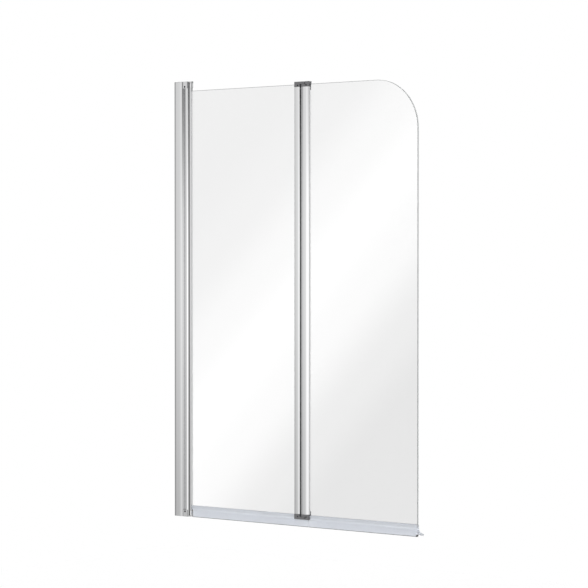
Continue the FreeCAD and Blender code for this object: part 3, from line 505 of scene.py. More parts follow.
class Outline:
    """A closed section, sampled into a ring of points in millimetres.

    Each sharp corner p is rounded with the curve (1-s)^2 a + 2 s (1-s) p + s^2 b, where a and b lie a
    short reach away from it on its two sides.

    Attributes:
        SHARP: smallest turn that is rounded.
        WIDEST: largest turn that the reach is worked out for.
        SHARE: largest share of a side that one rounding takes up.
    """

    SHARP = math.radians(24.0)
    WIDEST = 2.6
    SHARE = 0.42

    def __init__(self, corners: Sequence[Corner], edge: float = 0.35) -> None:
        """Sample the outline.

        Args:
            corners: as for mirrored().
            edge: radius of the rounding on sharp corners.
        """
        sides = [Side(start, end) for start, end in zip(corners, [*corners[1:], corners[0]])]
        reaches = [self._reach(before, after, edge) for before, after in zip([sides[-1], *sides[:-1]], sides)]
        ring = []
        for index, side in enumerate(sides):
            reach, following = reaches[index], reaches[(index + 1) % len(sides)]
            ring.append(self._rounded(sides[index - 1], side, reach))
            ring.append(side.between(reach, side.length - following))
        points = np.concatenate(ring)
        ahead = np.roll(points, -1, 0)
        area = float(np.sum(points[:, 0] * ahead[:, 1] - ahead[:, 0] * points[:, 1]))
        self.points = points if area > 0 else points[::-1]

    @classmethod
    def _reach(cls, before: Side, after: Side, edge: float) -> float:
        """Find how far the rounding between two sides reaches along them: edge tan(turn / 2).

        Args:
            before: the side that ends at the corner.
            after: the side that starts there.
            edge: radius of the rounding.

        Returns:
            The reach, or zero where the corner is not sharp.
        """
        cosine = float(before.heading(before.length) @ after.heading(0.0))
        turn = math.acos(min(max(cosine, -1.0), 1.0))
        if turn < cls.SHARP or not edge:
            return 0.0
        return min(edge * math.tan(min(turn, cls.WIDEST) / 2), cls.SHARE * min(before.length, after.length))

    @staticmethod
    def _rounded(before: Side, after: Side, reach: float) -> np.ndarray:
        """Find the points of a corner.

        Args:
            before: the side that ends at the corner.
            after: the side that starts there.
            reach: how far the rounding reaches along them.

        Returns:
            The points of the rounding, or the corner alone.
        """
        if not reach:
            return after.start[None]
        s = np.linspace(0, 1, 5)[:, None]
        first, last = before.at(before.length - reach), after.at(reach)
        return (1 - s) ** 2 * first + 2 * s * (1 - s) * after.start + s**2 * last

    def inset(self, depth: float) -> np.ndarray:
        """Move the ring inwards along the mean of each point's two side normals.

        Args:
            depth: how far, in millimetres.

        Returns:
            The moved points.
        """
        along = np.roll(self.points, -1, 0) - self.points
        normal = np.stack([along[:, 1], -along[:, 0]], 1)
        normal /= np.hypot(normal[:, 0], normal[:, 1])[:, None]
        joint = normal + np.roll(normal, 1, 0)
        joint /= np.maximum(np.sum(joint * normal, 1), 0.5)[:, None]
        return self.points - joint * depth


# Meshes
def placed(name: str, data: bpy.types.ID) -> bpy.types.Object:
    """Add an object to the scene, at the origin.

    Args:
        name: the object's name.
        data: its mesh or camera.

    Returns:
        The object.
    """
    made = bpy.data.objects.new(name, data)
    bpy.context.scene.collection.objects.link(made)
    return made


def shade(piece: bpy.types.Object) -> None:
    """Shade a mesh smooth up to an angle, with its many-sided faces flat.

    Args:
        piece: the mesh's object.
    """
    mesh = piece.data
    mesh.shade_smooth()
    mesh.set_sharp_from_angle(angle=SMOOTH_ANGLE)
    sides = np.empty(len(mesh.polygons), np.int32)
    mesh.polygons.foreach_get("loop_total", sides)
    mesh.polygons.foreach_set("use_smooth", sides <= 4)


def face_values(piece: bpy.types.Object, name: str) -> np.ndarray:
    """Read one vector of every face of a piece.

    Args:
        piece: the piece.
        name: "normal" or "center".

    Returns:
        The vectors, (faces, 3).
    """
    values = np.empty(3 * len(piece.data.polygons))
    piece.data.polygons.foreach_get(name, values)
    return values.reshape(-1, 3)


def number_faces(piece: bpy.types.Object, numbers: np.ndarray) -> None:
    """Set the material slot number of every face of a piece."""
    piece.data.polygons.foreach_set("material_index", numbers.astype(np.int32))


def cleaned(mesh: bpy.types.Mesh, merge: float = DOUBLE, flat: float = 0.0) -> None:
    """Merge a mesh's doubles and point its faces outwards.

    Args:
        mesh: the mesh.
        merge: largest distance between doubles, in metres.
        flat: angle up to which neighbouring faces are merged too.
    """
    work = bmesh.new()
    work.from_mesh(mesh)
    bmesh.ops.remove_doubles(work, verts=work.verts, dist=merge)
    if flat:
        bmesh.ops.dissolve_limit(work, angle_limit=flat, verts=work.verts, edges=work.edges)
    bmesh.ops.recalc_face_normals(work, faces=work.faces)
    work.to_mesh(mesh)
    work.free()


def mesh_object(name: str, grid: np.ndarray) -> bpy.types.Object:
    """Make a smooth-shaded object from closed rings of points.

    Args:
        name: the object's name.
        grid: points in millimetres, (rings, points in each ring, 3).

    Returns:
        The object, with quads between neighbouring rings and a face at each end.
    """
    index = np.arange(grid.shape[0] * grid.shape[1]).reshape(grid.shape[:2])
    across = np.roll(index, -1, 1)
    quads = np.stack([index[:-1], across[:-1], across[1:], index[1:]], -1).reshape(-1, 4)
    mesh = bpy.data.meshes.new(name)
    mesh.from_pydata((grid.reshape(-1, 3) * MM).tolist(), [],
                     [*quads.tolist(), index[0][::-1].tolist(), index[-1].tolist()])
    made = placed(name, mesh)
    cleaned(mesh)
    shade(made)
    return made


def extruded(name: str, outline: Outline, start: float, end: float, axis: Axis = Axis.Z,
             shift: float = 0.0, round_ends: float = 0.3) -> bpy.types.Object:
    """Extrude a section, with its two ends rounded.

    Level k of the rounding, for an angle a from 0 to 90 degrees, is r (1 - cos a) in from the end
    and the section is drawn in by r (1 - sin a). One more ring at each end keeps the sides' shading
    straight between them.

    Args:
        name: the object's name.
        outline: the section.
        start: where the extrusion starts along its axis.
        end: where it ends.
        axis: the extrusion's axis.
        shift: how far the section is moved along its own x axis.
        round_ends: radius r of the rounding at the ends.

    Returns:
        The object.
    """
    angles = np.radians([0.0, 30.0, 60.0, 90.0, 90.0] if round_ends else [90.0])
    rise = round_ends * (1 - np.cos(angles))
    rise[4:] += Side.SUPPORT
    levels = np.concatenate([start + rise, end - rise[::-1]])
    depths = round_ends * (1 - np.sin(np.concatenate([angles, angles[::-1]])))
    flat = np.stack([outline.inset(depth) for depth in depths]) + np.array([shift, 0.0])
    grid = np.empty((*flat.shape[:2], 3))
    across, up, along = axis.value
    grid[..., across], grid[..., up], grid[..., along] = flat[..., 0], flat[..., 1], levels[:, None]
    return mesh_object(name, grid)


def turned(name: str, profile: Sequence[Corner], foot: Sequence[float], way: Sequence[float],
           sides: int = 48) -> bpy.types.Object:
    """Turn a profile about an axis: point (r cos t, r sin t, h) for each (r, h) and angle t.

    Args:
        name: the object's name.
        profile: (radius, height) points from the foot's middle to the top's middle.
        foot: where the axis starts, in millimetres.
        way: the axis's direction.
        sides: steps round the axis.

    Returns:
        The object.
    """
    radius, height = (np.asarray(column, float)[:, None] for column in zip(*profile))
    turn = 2 * np.pi * np.arange(sides) / sides
    grid = np.stack([radius * np.cos(turn), radius * np.sin(turn), height + 0 * turn], -1)
    aim = np.array(Vector(way).to_track_quat("Z", "Y").to_matrix())
    return mesh_object(name, grid @ aim.T + np.array(foot, float))


def joined(name: str, parts: Sequence[bpy.types.Object]) -> bpy.types.Object:
    """Join several mesh objects into one.

    Args:
        name: the joined object's name.
        parts: the objects, which are used up.

    Returns:
        The joined object.
    """
    work = bmesh.new()
    for part in parts:
        work.from_mesh(part.data)
    mesh = bpy.data.meshes.new(name)
    work.to_mesh(mesh)
    work.free()
    for part in parts:
        bpy.data.objects.remove(part)
    made = placed(name, mesh)
    shade(made)
    return made


def modified(piece: bpy.types.Object, kind: str, **settings: object) -> None:
    """Apply one modifier to a piece.

    Args:
        piece: the piece.
        kind: the modifier's type name.
        settings: the modifier's properties.
    """
    modifier = piece.modifiers.new("step", kind)
    for name, value in settings.items():
        setattr(modifier, name, value)
    bpy.context.view_layer.update()
    graph = bpy.context.evaluated_depsgraph_get()
    mesh = bpy.data.meshes.new_from_object(piece.evaluated_get(graph))
    piece.modifiers.clear()
    piece.data = mesh


def carved(piece: bpy.types.Object, cutters: Sequence[bpy.types.Object]) -> bpy.types.Object:
    """Take cutters out of a piece.

    Args:
        piece: the piece.
        cutters: closed mesh objects, which are used up.

    Returns:
        The piece.
    """
    for cutter in cutters:
        modified(piece, "BOOLEAN", operation="DIFFERENCE", solver="EXACT", object=cutter)
        bpy.data.objects.remove(cutter)
    if cutters:
        cleaned(piece.data)
        shade(piece)
    return piece


def slab(low: Sequence[float], high: Sequence[float]) -> bpy.types.Object:
    """Return a plain box between two corners, used as a cutter."""
    corners = [(low[0], low[1]), (high[0], low[1]), (high[0], high[1]), (low[0], high[1])]
    return extruded("slab", Outline(corners, edge=0.0), low[2], high[2], round_ends=0.0)


def softened(name: str, node: str, width: float) -> bpy.types.Object:
    """Copy a frame solid, merge its flat faces and round its edges.

    Args:
        name: the new object's name.
        node: the frame node.
        width: radius of the rounding.

    Returns:
        The new object.
    """
    source = frame["nodes"][node]
    mesh = source.data.copy()
    mesh.materials.clear()
    mesh.transform(source.matrix_world)
    cleaned(mesh, merge=SOLID_DOUBLE, flat=FLAT_ANGLE)
    made = placed(name, mesh)
    modified(made, "BEVEL", width=width * MM, segments=3, limit_method="ANGLE",
             angle_limit=EDGE_ANGLE, use_clamp_overlap=True)
    shade(made)
    modified(made, "WEIGHTED_NORMAL", keep_sharp=True)
    return made


# Frame measures
@dataclass(frozen=True)
class Extent:
    """The box of a frame node, in millimetres.

    Attributes:
        low: lowest corner.
        high: highest corner.
    """

    low: Vector
    high: Vector

    @staticmethod
    def of(node: str) -> "Extent":
        """Return the box of a node."""
        low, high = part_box(node)
        return Extent(low / MM, high / MM)

    @property
    def middle(self) -> Vector:
        """The box's centre."""
        return (self.low + self.high) / 2

    @property
    def size(self) -> Vector:
        """The box's three sides."""
        return self.high - self.low


def hinge_x(joint: Joint) -> float:
    """Return how far a hinge's axis stands from the wall."""
    found = next(one for one in frame["joints"] if one["name"] == joint.value)
    return found["pos_m"][0] / MM


class Assembly:
    """Pieces that ride on one body.

    Attributes:
        body: the body.
    """

    body: ClassVar[Body]

    def dress(self, piece: bpy.types.Object, slot: Slot, node: str, finishes: Sequence[Finish] = ()) -> None:
        """Give a piece its materials and its place in the frame.

        Args:
            piece: the object, in place.
            slot: the record's slot.
            node: the frame node that it stands for.
            finishes: the materials, by slot number; the slot's own finish when left out.
        """
        for finish in finishes or (SLOT_FINISH[slot],):
            piece.data.materials.append(finish.material())
        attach(piece, self.body.value)
        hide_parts(node)
        log.info("%s: %d faces, for %s", piece.name, len(piece.data.polygons), node)

    def keep(self, slot: Slot, *nodes: str) -> None:
        """Give frame nodes that stay in view the finish of their slot.

        Args:
            slot: the record's slot.
            nodes: the frame nodes.
        """
        for node in nodes:
            for place in frame["nodes"][node].material_slots:
                place.link = "OBJECT"
                place.material = SLOT_FINISH[slot].material()
            log.info("%s: kept, %s", node, slot.value)

    def profile(self, name: str, section: Outline, node: str, slot: Slot = Slot.PROFILE, shift: float = 0.0,
                finishes: Sequence[Finish] = (), cutters: Sequence[bpy.types.Object] = (),
                round_ends: float = 0.3) -> None:
        """Extrude a section over a node's height and dress it.

        Args:
            name: the object's name.
            section: the section.
            node: the frame node.
            slot: the record's slot.
            shift: how far from the wall the section is measured from.
            finishes: as for dress().
            cutters: what is taken out of it.
            round_ends: as for extruded().
        """
        extent = Extent.of(node)
        piece = extruded(name, section, extent.low.z, extent.high.z, shift=shift, round_ends=round_ends)
        self.dress(carved(piece, cutters), slot, node, finishes)

    def turned_set(self, name: str, profile: Sequence[Corner],
                   places: Iterable[Sequence[Sequence[float]]], node: str, slot: Slot = Slot.SCREW,
                   finishes: Sequence[Finish] = (), sides: int = 48) -> None:
        """Turn one profile at several places, join the results and dress them.

        Args:
            name: the object's name.
            profile: as for turned().
            places: the (foot, direction) of each axis.
            node: the frame node.
            slot: the record's slot.
            finishes: as for dress().
            sides: as for turned().
        """
        parts = [turned("part", profile, foot, way, sides) for foot, way in places]
        self.dress(joined(name, parts), slot, node, finishes)


# Sections that both hinges share
@dataclass(frozen=True)
class StripSlot:
    """The T slot for a soft strip in a flat end, and the strip in it.

    Attributes:
        stem: half the width of the slot's mouth.
        head: half the width of the slot's bottom.
        neck: depth of the mouth.
        depth: depth of the bottom.
        play: gap round the strip.
        stand: how far a plain strip stands out.
    """

    stem: float = 1.5
    head: float = 3.0
    neck: float = 1.2
    depth: float = 3.0
    play: float = 0.1
    stand: float = 0.2

    def slot(self, end: float) -> list[Corner]:
        """Return the upper half of the slot in a flat end at x = end."""
        return [(end, self.stem), (end - self.neck, self.stem), (end - self.neck, self.head),
                (end - self.depth, self.head)]

    def strip(self, end: float, flange: Sequence[Corner] = ()) -> Outline:
        """Return the strip's section.

        Args:
            end: the flat end's x.
            flange: upper half of what lies outside the slot; a low bead when left out.

        Returns:
            The section.
        """
        stem, head = self.stem - self.play, self.head - self.play
        return Outline(mirrored([
            (end - self.depth + self.play, head), (end - self.neck - self.play, head),
            (end - self.neck - self.play, stem), *(flange or [(end + self.stand, stem)]),
        ]), edge=0.4)


@dataclass(frozen=True)
class GlassSlot:
    """The slot that holds a glass edge, and the soft U round the edge.

    Attributes:
        glass: half the thickness of the glass.
        wall: thickness of the soft U's sides.
        web: thickness of its bottom.
        stand: how far it stands out of the slot.
        trim: how much shorter its bath side is where that side is bevelled.
    """

    glass: float = 3.0
    wall: float = 0.9
    web: float = 1.0
    stand: float = 0.4
    trim: float = 2.7

    @property
    def half(self) -> float:
        """Half the width of the slot."""
        return self.glass + self.wall

    def gasket(self, bottom: float, mouth: float, trim: float = 0.0) -> Outline:
        """Return the soft U's section.

        Args:
            bottom: x of the slot's bottom.
            mouth: x of the slot's mouth.
            trim: how much shorter the bath side is.

        Returns:
            The section, which stands a little out of the mouth.
        """
        out = math.copysign(1.0, mouth - bottom)
        lip = mouth + self.stand * out
        inside, outside, web = self.glass + 0.01, self.half - 0.02, bottom + self.web * out
        return Outline([
            (web, inside), (lip - trim, inside), (lip - trim, outside), (bottom, outside),
            (bottom, -outside), (lip, -outside), (lip, -inside), (web, -inside),
        ], edge=0.25)


STRIP_SLOT = StripSlot()
GLASS_SLOT = GlassSlot()


# Sub-assemblies
@dataclass
class WallSide(Assembly):
    """The channel on the wall, the pivot post and the brackets.

    Attributes:
        wall: thickness of the channel's sides.
        web: thickness of its back.
        lip: thickness of its two lips.
        lip_inside: how far inside the channel's side the lip's inner face ends.
        lip_start: how far from its front the inner face of the side ends.
        lip_run: how far from its front the channel's side turns to the lip.
        lip_drop: how far the lip's crowned slope draws in.
        lip_crown: radius of that slope's crown.
        wall_shoulder: radius of the shoulder at the wall.
        wall_step: how far that shoulder draws in.
        wall_run: where the shoulder's inner face ends, from the wall.
        web_half: half the width of the back's inner face.
        mouth: half the width of the channel's mouth.
        cap_plate: thickness of the top cap's plate.
        wall_screw: radius of the wall screw holes.
        wall_screw_inset: end holes from the channel's ends.
        neck: half the thickness of the post's neck.
        guide_end: end of the post's guide, from the wall.
        nose_start: start of the post's nose, from the wall.
        ramp: length of the slope from the neck up to the nose.
        nose_corner: radius of the nose's corners at the flat end.
        nose_halves: half thicknesses of the nose, from the top of the slope to the flat end.
        horn: how far those corners reach past the flat end, on both sides of the round stile.
        flange: thickness of the post strip's flange.
        flange_half: half its width.
        rounding: radius of the brackets' edges.
    """

    body: ClassVar[Body] = Body.WALL
    wall: float = 2.0
    web: float = 2.5
    lip: float = 2.5
    lip_inside: float = 4.6
    lip_start: float = 5.2
    lip_run: float = 4.6
    lip_drop: float = 7.2
    lip_crown: float = 14.0
    wall_shoulder: float = 24.0
    wall_step: float = 2.1
    wall_run: float = 8.9
    web_half: float = 9.4
    mouth: float = 5.3
    cap_plate: float = 1.6
    wall_screw: float = 2.75
    wall_screw_inset: float = 140.0
    neck: float = 5.0
    guide_end: float = 25.0
    nose_start: float = 43.2
    ramp: float = 7.2
    nose_corner: float = 2.9
    nose_halves: tuple[float, ...] = (8.1, 9.6, 9.92, 9.1, 6.9, 5.9)
    horn: float = 2.2
    flange: float = 1.0
    flange_half: float = 5.6
    rounding: float = 0.5

    def build(self) -> None:
        """Build and dress every piece of the wall side."""
        self.channel()
        self.cap()
        self.post()
        self.screw_caps()
        for end in ("top", "bottom"):
            node = f"{end}_pivot_bracket"
            self.dress(softened(f"{end}_bracket", node, self.rounding), Slot.CASTING, node)
        self.bracket_screws()
        self.keep(Slot.SCREW, "adjusting_screws", "wall_pivot_pins")

    def shell(self) -> list[Corner]:
        """Work out the channel's outside: a shoulder, a faintly crowned side and a lip.

        Returns:
            The corners of its upper half.
        """
        extent = Extent.of("wall_channel")
        half, depth = extent.high.y, extent.high.x
        run = math.sqrt(self.wall_shoulder**2 - (self.wall_shoulder - self.wall_step) ** 2)
        return [
            (0.0, half - self.wall_step - 0.05, -self.wall_shoulder), (run - 0.6, half - 0.42, -220.0),
            (depth - self.lip_run, half - 0.35, -self.lip_crown), (depth, half - self.lip_drop),
        ]

    def channel(self) -> None:
        """The channel, with the wall screw holes in its web."""
        extent, top = Extent.of("wall_channel"), Extent.of("channel_top_cap").high.z
        half, depth = extent.high.y, extent.high.x
        section = Outline(mirrored([
            *self.shell(), (depth, self.mouth), (depth - self.lip, self.mouth),
            (depth - self.lip, half - self.lip_inside), (depth - self.lip_start, half - self.wall - 0.2),
            (self.wall_run, half - self.wall, self.wall_shoulder - self.wall), (self.web, self.web_half),
        ]))
        bore = [(self.wall_screw, -4.0), (self.wall_screw, 6.0)]
        holes = [turned("hole", bore, (0, 0, level), (1, 0, 0))
                 for level in (self.wall_screw_inset, top / 2, top - self.wall_screw_inset)]
        self.profile("channel_profile", section, "wall_channel", cutters=holes)

    def cap(self) -> None:
        """The flush cap on the channel's top, with its plug."""
        extent, guide = Extent.of("channel_top_cap"), Extent.of("pivot_post")
        foot, top = extent.low.z, extent.high.z
        plate = extruded("plate", Outline(mirrored(self.shell())), top - self.cap_plate, top, round_ends=0.45)
        end = extent.high.x - self.lip - 0.3
        block = Outline(mirrored([(guide.low.x, guide.high.y), (end, guide.high.y)]))
        plug = extruded("plug", block, foot, top - self.cap_plate - 0.1)
        self.dress(joined("channel_cap", [plate, plug]), Slot.CASTING, "channel_top_cap")

    def post(self) -> None:
        """The pivot post, with its crowned nose, and the soft strip over its flat end."""
        extent = Extent.of("pivot_post")
        guide, end, wide = extent.high.y, extent.high.x, self.flange_half
        foot, rise, crown, edge, horn, flat = self.nose_halves
        section = Outline(mirrored([
            (extent.low.x, guide), (self.guide_end, guide), (self.guide_end, self.neck),
            (self.nose_start - self.ramp, self.neck), (self.nose_start, foot, -1.5),
            (self.nose_start + 1.5, rise, -60.0), (end - 4.6, crown, -9.5),
            (end - 0.4, edge, -self.nose_corner), (end + self.horn, horn), (end, flat),
            *STRIP_SLOT.slot(end),
        ]))
        self.profile("post_profile", section, "pivot_post")
        flange = [(end, STRIP_SLOT.stem - STRIP_SLOT.play), (end, wide), (end + self.flange, wide - 0.4)]
        strip = STRIP_SLOT.strip(end, flange)
        self.profile("post_strip", strip, "post_seal_strip", Slot.STRIP)

    def screw_caps(self) -> None:
        """The domed push-on caps over the adjusting screws."""
        extent = Extent.of("adjusting_screw_caps")
        radius, rise = extent.size.x / 2, extent.size.y
        angles = np.radians(np.linspace(0, 86, 9))
        dome = np.stack([0.73 * radius * np.cos(angles), rise * (0.56 + 0.44 * np.sin(angles))], 1)
        profile = [(0.02, 0.0), (radius - 0.15, 0.0), (radius, 0.15), (radius - 0.08, 0.7),
                   (radius - 0.4, 1.15), (radius - 0.9, 1.35), *map(tuple, dome), (0.02, rise)]
        levels = (extent.low.z + radius, extent.middle.z, extent.high.z - radius)
        places = [((extent.middle.x, extent.low.y, level), (0, 1, 0)) for level in levels]
        self.turned_set("screw_caps", profile, places, "adjusting_screw_caps", Slot.PLASTIC)

    def bracket_screws(self) -> None:
        """The flush screws in the brackets, with their drive recesses."""
        extent = Extent.of("bracket_screws")
        head = extent.size.x / 2
        profile = [(0.02, 7.5), (2.0, 7.5), (2.0, 1.6), (head - 0.2, 1.5), (head - 0.15, 0.5),
                   (head - 0.45, 0.12), (1.6, 0.05), (1.25, 0.25), (1.1, 1.4), (0.02, 1.5)]
        places = [((extent.middle.x, face, level), (0, way, 0))
                  for level in (extent.low.z + head, extent.high.z - head)
                  for face, way in ((extent.low.y, 1), (extent.high.y, -1))]
        self.turned_set("bracket_screw_set", profile, places, "bracket_screws", finishes=(BLACKENED,))


@dataclass
class Seal:
    """A clear bottom seal: a grip on the glass, a front wiper and a curved skirt with a drip fin.

    Attributes:
        name: the object's name.
        node: the frame node.
        fin: where the fin starts and ends, in X.
        raised: span of X where the grip is cut away under a hinge block.
        shortened: span of X where only the wiper's upper part is left.
        spine: height of the spine's underside.
        face: the wiper's face, in Y.
        bead: radius of the bead at the wiper's foot.
        tip: where the fin's tip starts, in Y; the faces past it get the painted shade.
        dark_end: length of the dark end piece behind the wiper's free end, or zero.
        dark_end_rise: height of that end piece.
        gap: clearance to the hinge blocks.
        over: how far cutters reach past the seal's ends and foot.
        reach: how far they reach past its back.
        side: how far the cutters at the hinges reach to the room side, and under the blocks to both sides.
        above: height that the cutter under the blocks reaches to.
    """

    name: str
    node: str
    fin: tuple[float, float]
    raised: tuple[float, float]
    shortened: tuple[float, float] | None = None
    spine: float = 20.5
    face: float = -6.0
    bead: float = 1.2
    tip: float = 28.5
    dark_end: float = 0.0
    dark_end_rise: float = 6.0
    gap: float = 0.3
    over: float = 5.0
    reach: float = 50.0
    side: float = 30.0
    above: float = 60.0

    def section(self) -> Outline:
        """Work out the seal's whole section.

        Returns:
            The section, as (Y, Z).
        """
        spine, bead, face, foot = self.spine, self.bead, self.face, 0.02
        return Outline([
            (-3.0, 37.0), (-4.5, 36.0), (-4.5, 27.0), (face, spine + 1.0), (face, bead + foot, bead),
            (bead + face, foot, bead), (2 * bead + face, bead + foot, bead), (-4.7, 2 * bead + foot),
            (-4.7, spine), (3.0, spine, 24.0), (12.5, 6.6), (29.8, 0.05, 2.3), (31.8, 2.6, 2.3),
            (29.8, 5.2), (15.5, 10.5, -21.0), (4.5, 27.0), (4.5, 36.0), (3.0, 37.0), (3.0, 28.0),
            (-3.0, 28.0),
        ], edge=0.3)

    def build(self) -> bpy.types.Object:
        """Make the seal: its section along X, with the fin, grip and wiper cut back.

        Returns:
            The object.
        """
        extent = Extent.of(self.node)
        start, end = extent.low.x, extent.high.x
        block_foot = Extent.of("inner_bottom_block").low.z
        piece = extruded(self.name, self.section(), start, end, Axis.X, round_ends=0.0)
        over, reach, side = self.over, self.reach, self.side
        cutters = []
        for first, last in ((start - over, self.fin[0]), (self.fin[1], end + over)):
            if last - first > over + 0.01:
                cutters.append(slab((first, 4.5, -over), (last, reach, 26.9)))
                cutters.append(slab((first, -3.4, -over), (last, reach, self.spine)))
        first, last = self.raised
        cutters.append(slab((first, -side, block_foot - self.gap), (last, side, self.above)))
        if self.shortened:
            first, last = self.shortened
            cutters.append(slab((first, -side, -over), (last, reach, block_foot + 1)))
        return self.footed(carved(piece, cutters), end)

    def footed(self, piece: bpy.types.Object, end: float) -> bpy.types.Object:
        """Give the bead and the fin's tip material slot 1, a darker painted shade, and add the free end's
        dark end piece with slot 2.

        Args:
            piece: the cut seal.
            end: where the seal ends.

        Returns:
            The seal, with its dark end piece where it has one.
        """
        centres = face_values(piece, "center") / MM
        # Slot 1 on the bead and the fin's tip paints shade along the seal's lower edge.
        bead = (centres[:, 2] < 2.1 * self.bead) & (centres[:, 1] < 2.2 * self.bead + self.face)
        tip = centres[:, 1] > self.tip
        number_faces(piece, bead | tip)
        if not self.dark_end:
            return piece
        face, rise = self.face - 0.1, self.dark_end_rise
        back = face + self.dark_end
        section = Outline([(face, 0.0), (back, 0.0), (back, rise), (face, rise)], edge=0.8)
        plug = extruded("dark_end", section, end - 3.0, end - 0.02, Axis.X)
        number_faces(plug, np.full(len(plug.data.polygons), 2))
        return joined(piece.name, [piece, plug])


@dataclass
class Panel(Assembly):
    """What the two panels have in common: the pane, and the end blocks and screws of the fold hinge.

    Attributes:
        label: "inner" or "outer".
        corner: radius of the pane's top outer corner.
        small: radius of its other corners.
        arris: rounding between its faces and the ground edge.
        rounding: radius of the end blocks' edges.
        grip: length of a block screw in its stile.
        shank: radius of a block screw.
        offset: block screws from the glass plane.
    """

    label: ClassVar[str]
    corner: float = 3.0
    small: float = 3.0
    arris: float = 1.0
    rounding: float = 0.45
    grip: float = 10.0
    shank: float = 1.4
    offset: float = 7.2

    def pane(self) -> None:
        """The pane, with material slot 0 on its faces, 1 on its ground edge and 2 on the arris, whose dark
        grey is painted shade.
        """
        extent = Extent.of(f"{self.label}_glass")
        low, high, small, big = extent.low, extent.high, self.small, self.corner
        outline = Outline([
            (low.x + small, low.z), (high.x - small, low.z, small), (high.x, low.z + small),
            (high.x, high.z - big, big), (high.x - big, high.z), (low.x + small, high.z, small),
            (low.x, high.z - small), (low.x, low.z + small, small),
        ], edge=0.0)
        piece = extruded(f"{self.label}_pane", outline, low.y, high.y, Axis.Y, round_ends=self.arris)
        facing = np.abs(face_values(piece, "normal")[:, 1])
        number_faces(piece, np.select([facing > 0.999, facing < 0.01], [0, 1], 2))
        self.dress(piece, Slot.GLASS, f"{self.label}_glass", (GLASS, EDGE, ARRIS_PAINTED_SHADE))

    def block_cutters(self, box: Extent) -> list[bpy.types.Object]:
        """Return what is taken out of the end block that fills a box: nothing."""
        return []

    def blocks(self) -> None:
        """The end blocks and their screws."""
        for end in ("top", "bottom"):
            node = f"{self.label}_{end}_block"
            piece = softened(f"{self.label}_{end}_end_block", node, self.rounding)
            self.dress(carved(piece, self.block_cutters(Extent.of(node))), Slot.BLOCK, node)
        self.clamps()
        self.fixings()

    def clamps(self) -> None:
        """The grub screws that bear on the glass, with their sockets."""
        node = f"{self.label}_clamp_screws"
        extent = Extent.of(node)
        radius, length = extent.size.x / 2, extent.size.y
        profile = [(0.02, length), (radius - 0.3, length), (radius, length - 0.3), (radius, 0.4),
                   (radius - 0.35, 0.05), (2.0, 0.0), (1.85, 0.15), (1.85, 2.6), (0.02, 2.8)]
        places = [((extent.middle.x, extent.low.y, level), (0, 1, 0))
                  for level in (extent.low.z + radius, extent.high.z - radius)]
        self.turned_set(f"{self.label}_grub_screws", profile, places, node, finishes=(BLACKENED,), sides=36)

    def fixings(self) -> None:
        """The countersunk screws through the blocks."""
        node = f"{self.label}_block_screws"
        extent = Extent.of(node)
        length = Extent.of(f"{self.label}_top_block").size.z + self.grip
        shank, head = self.shank, extent.size.x / 2 - 0.1
        profile = [(0.02, length), (1.0, length), (shank, length - 0.8), (shank, 2.05), (head, 0.35),
                   (head, 0.12), (1.2, 0.04), (0.95, 0.3), (0.8, 1.3), (0.02, 1.5)]
        places = [((extent.middle.x, y, level), (0, 0, way))
                  for level, way in ((extent.low.z, 1), (extent.high.z, -1))
                  for y in (-self.offset, self.offset)]
        self.turned_set(f"{self.label}_countersunk_screws", profile, places, node, sides=32)


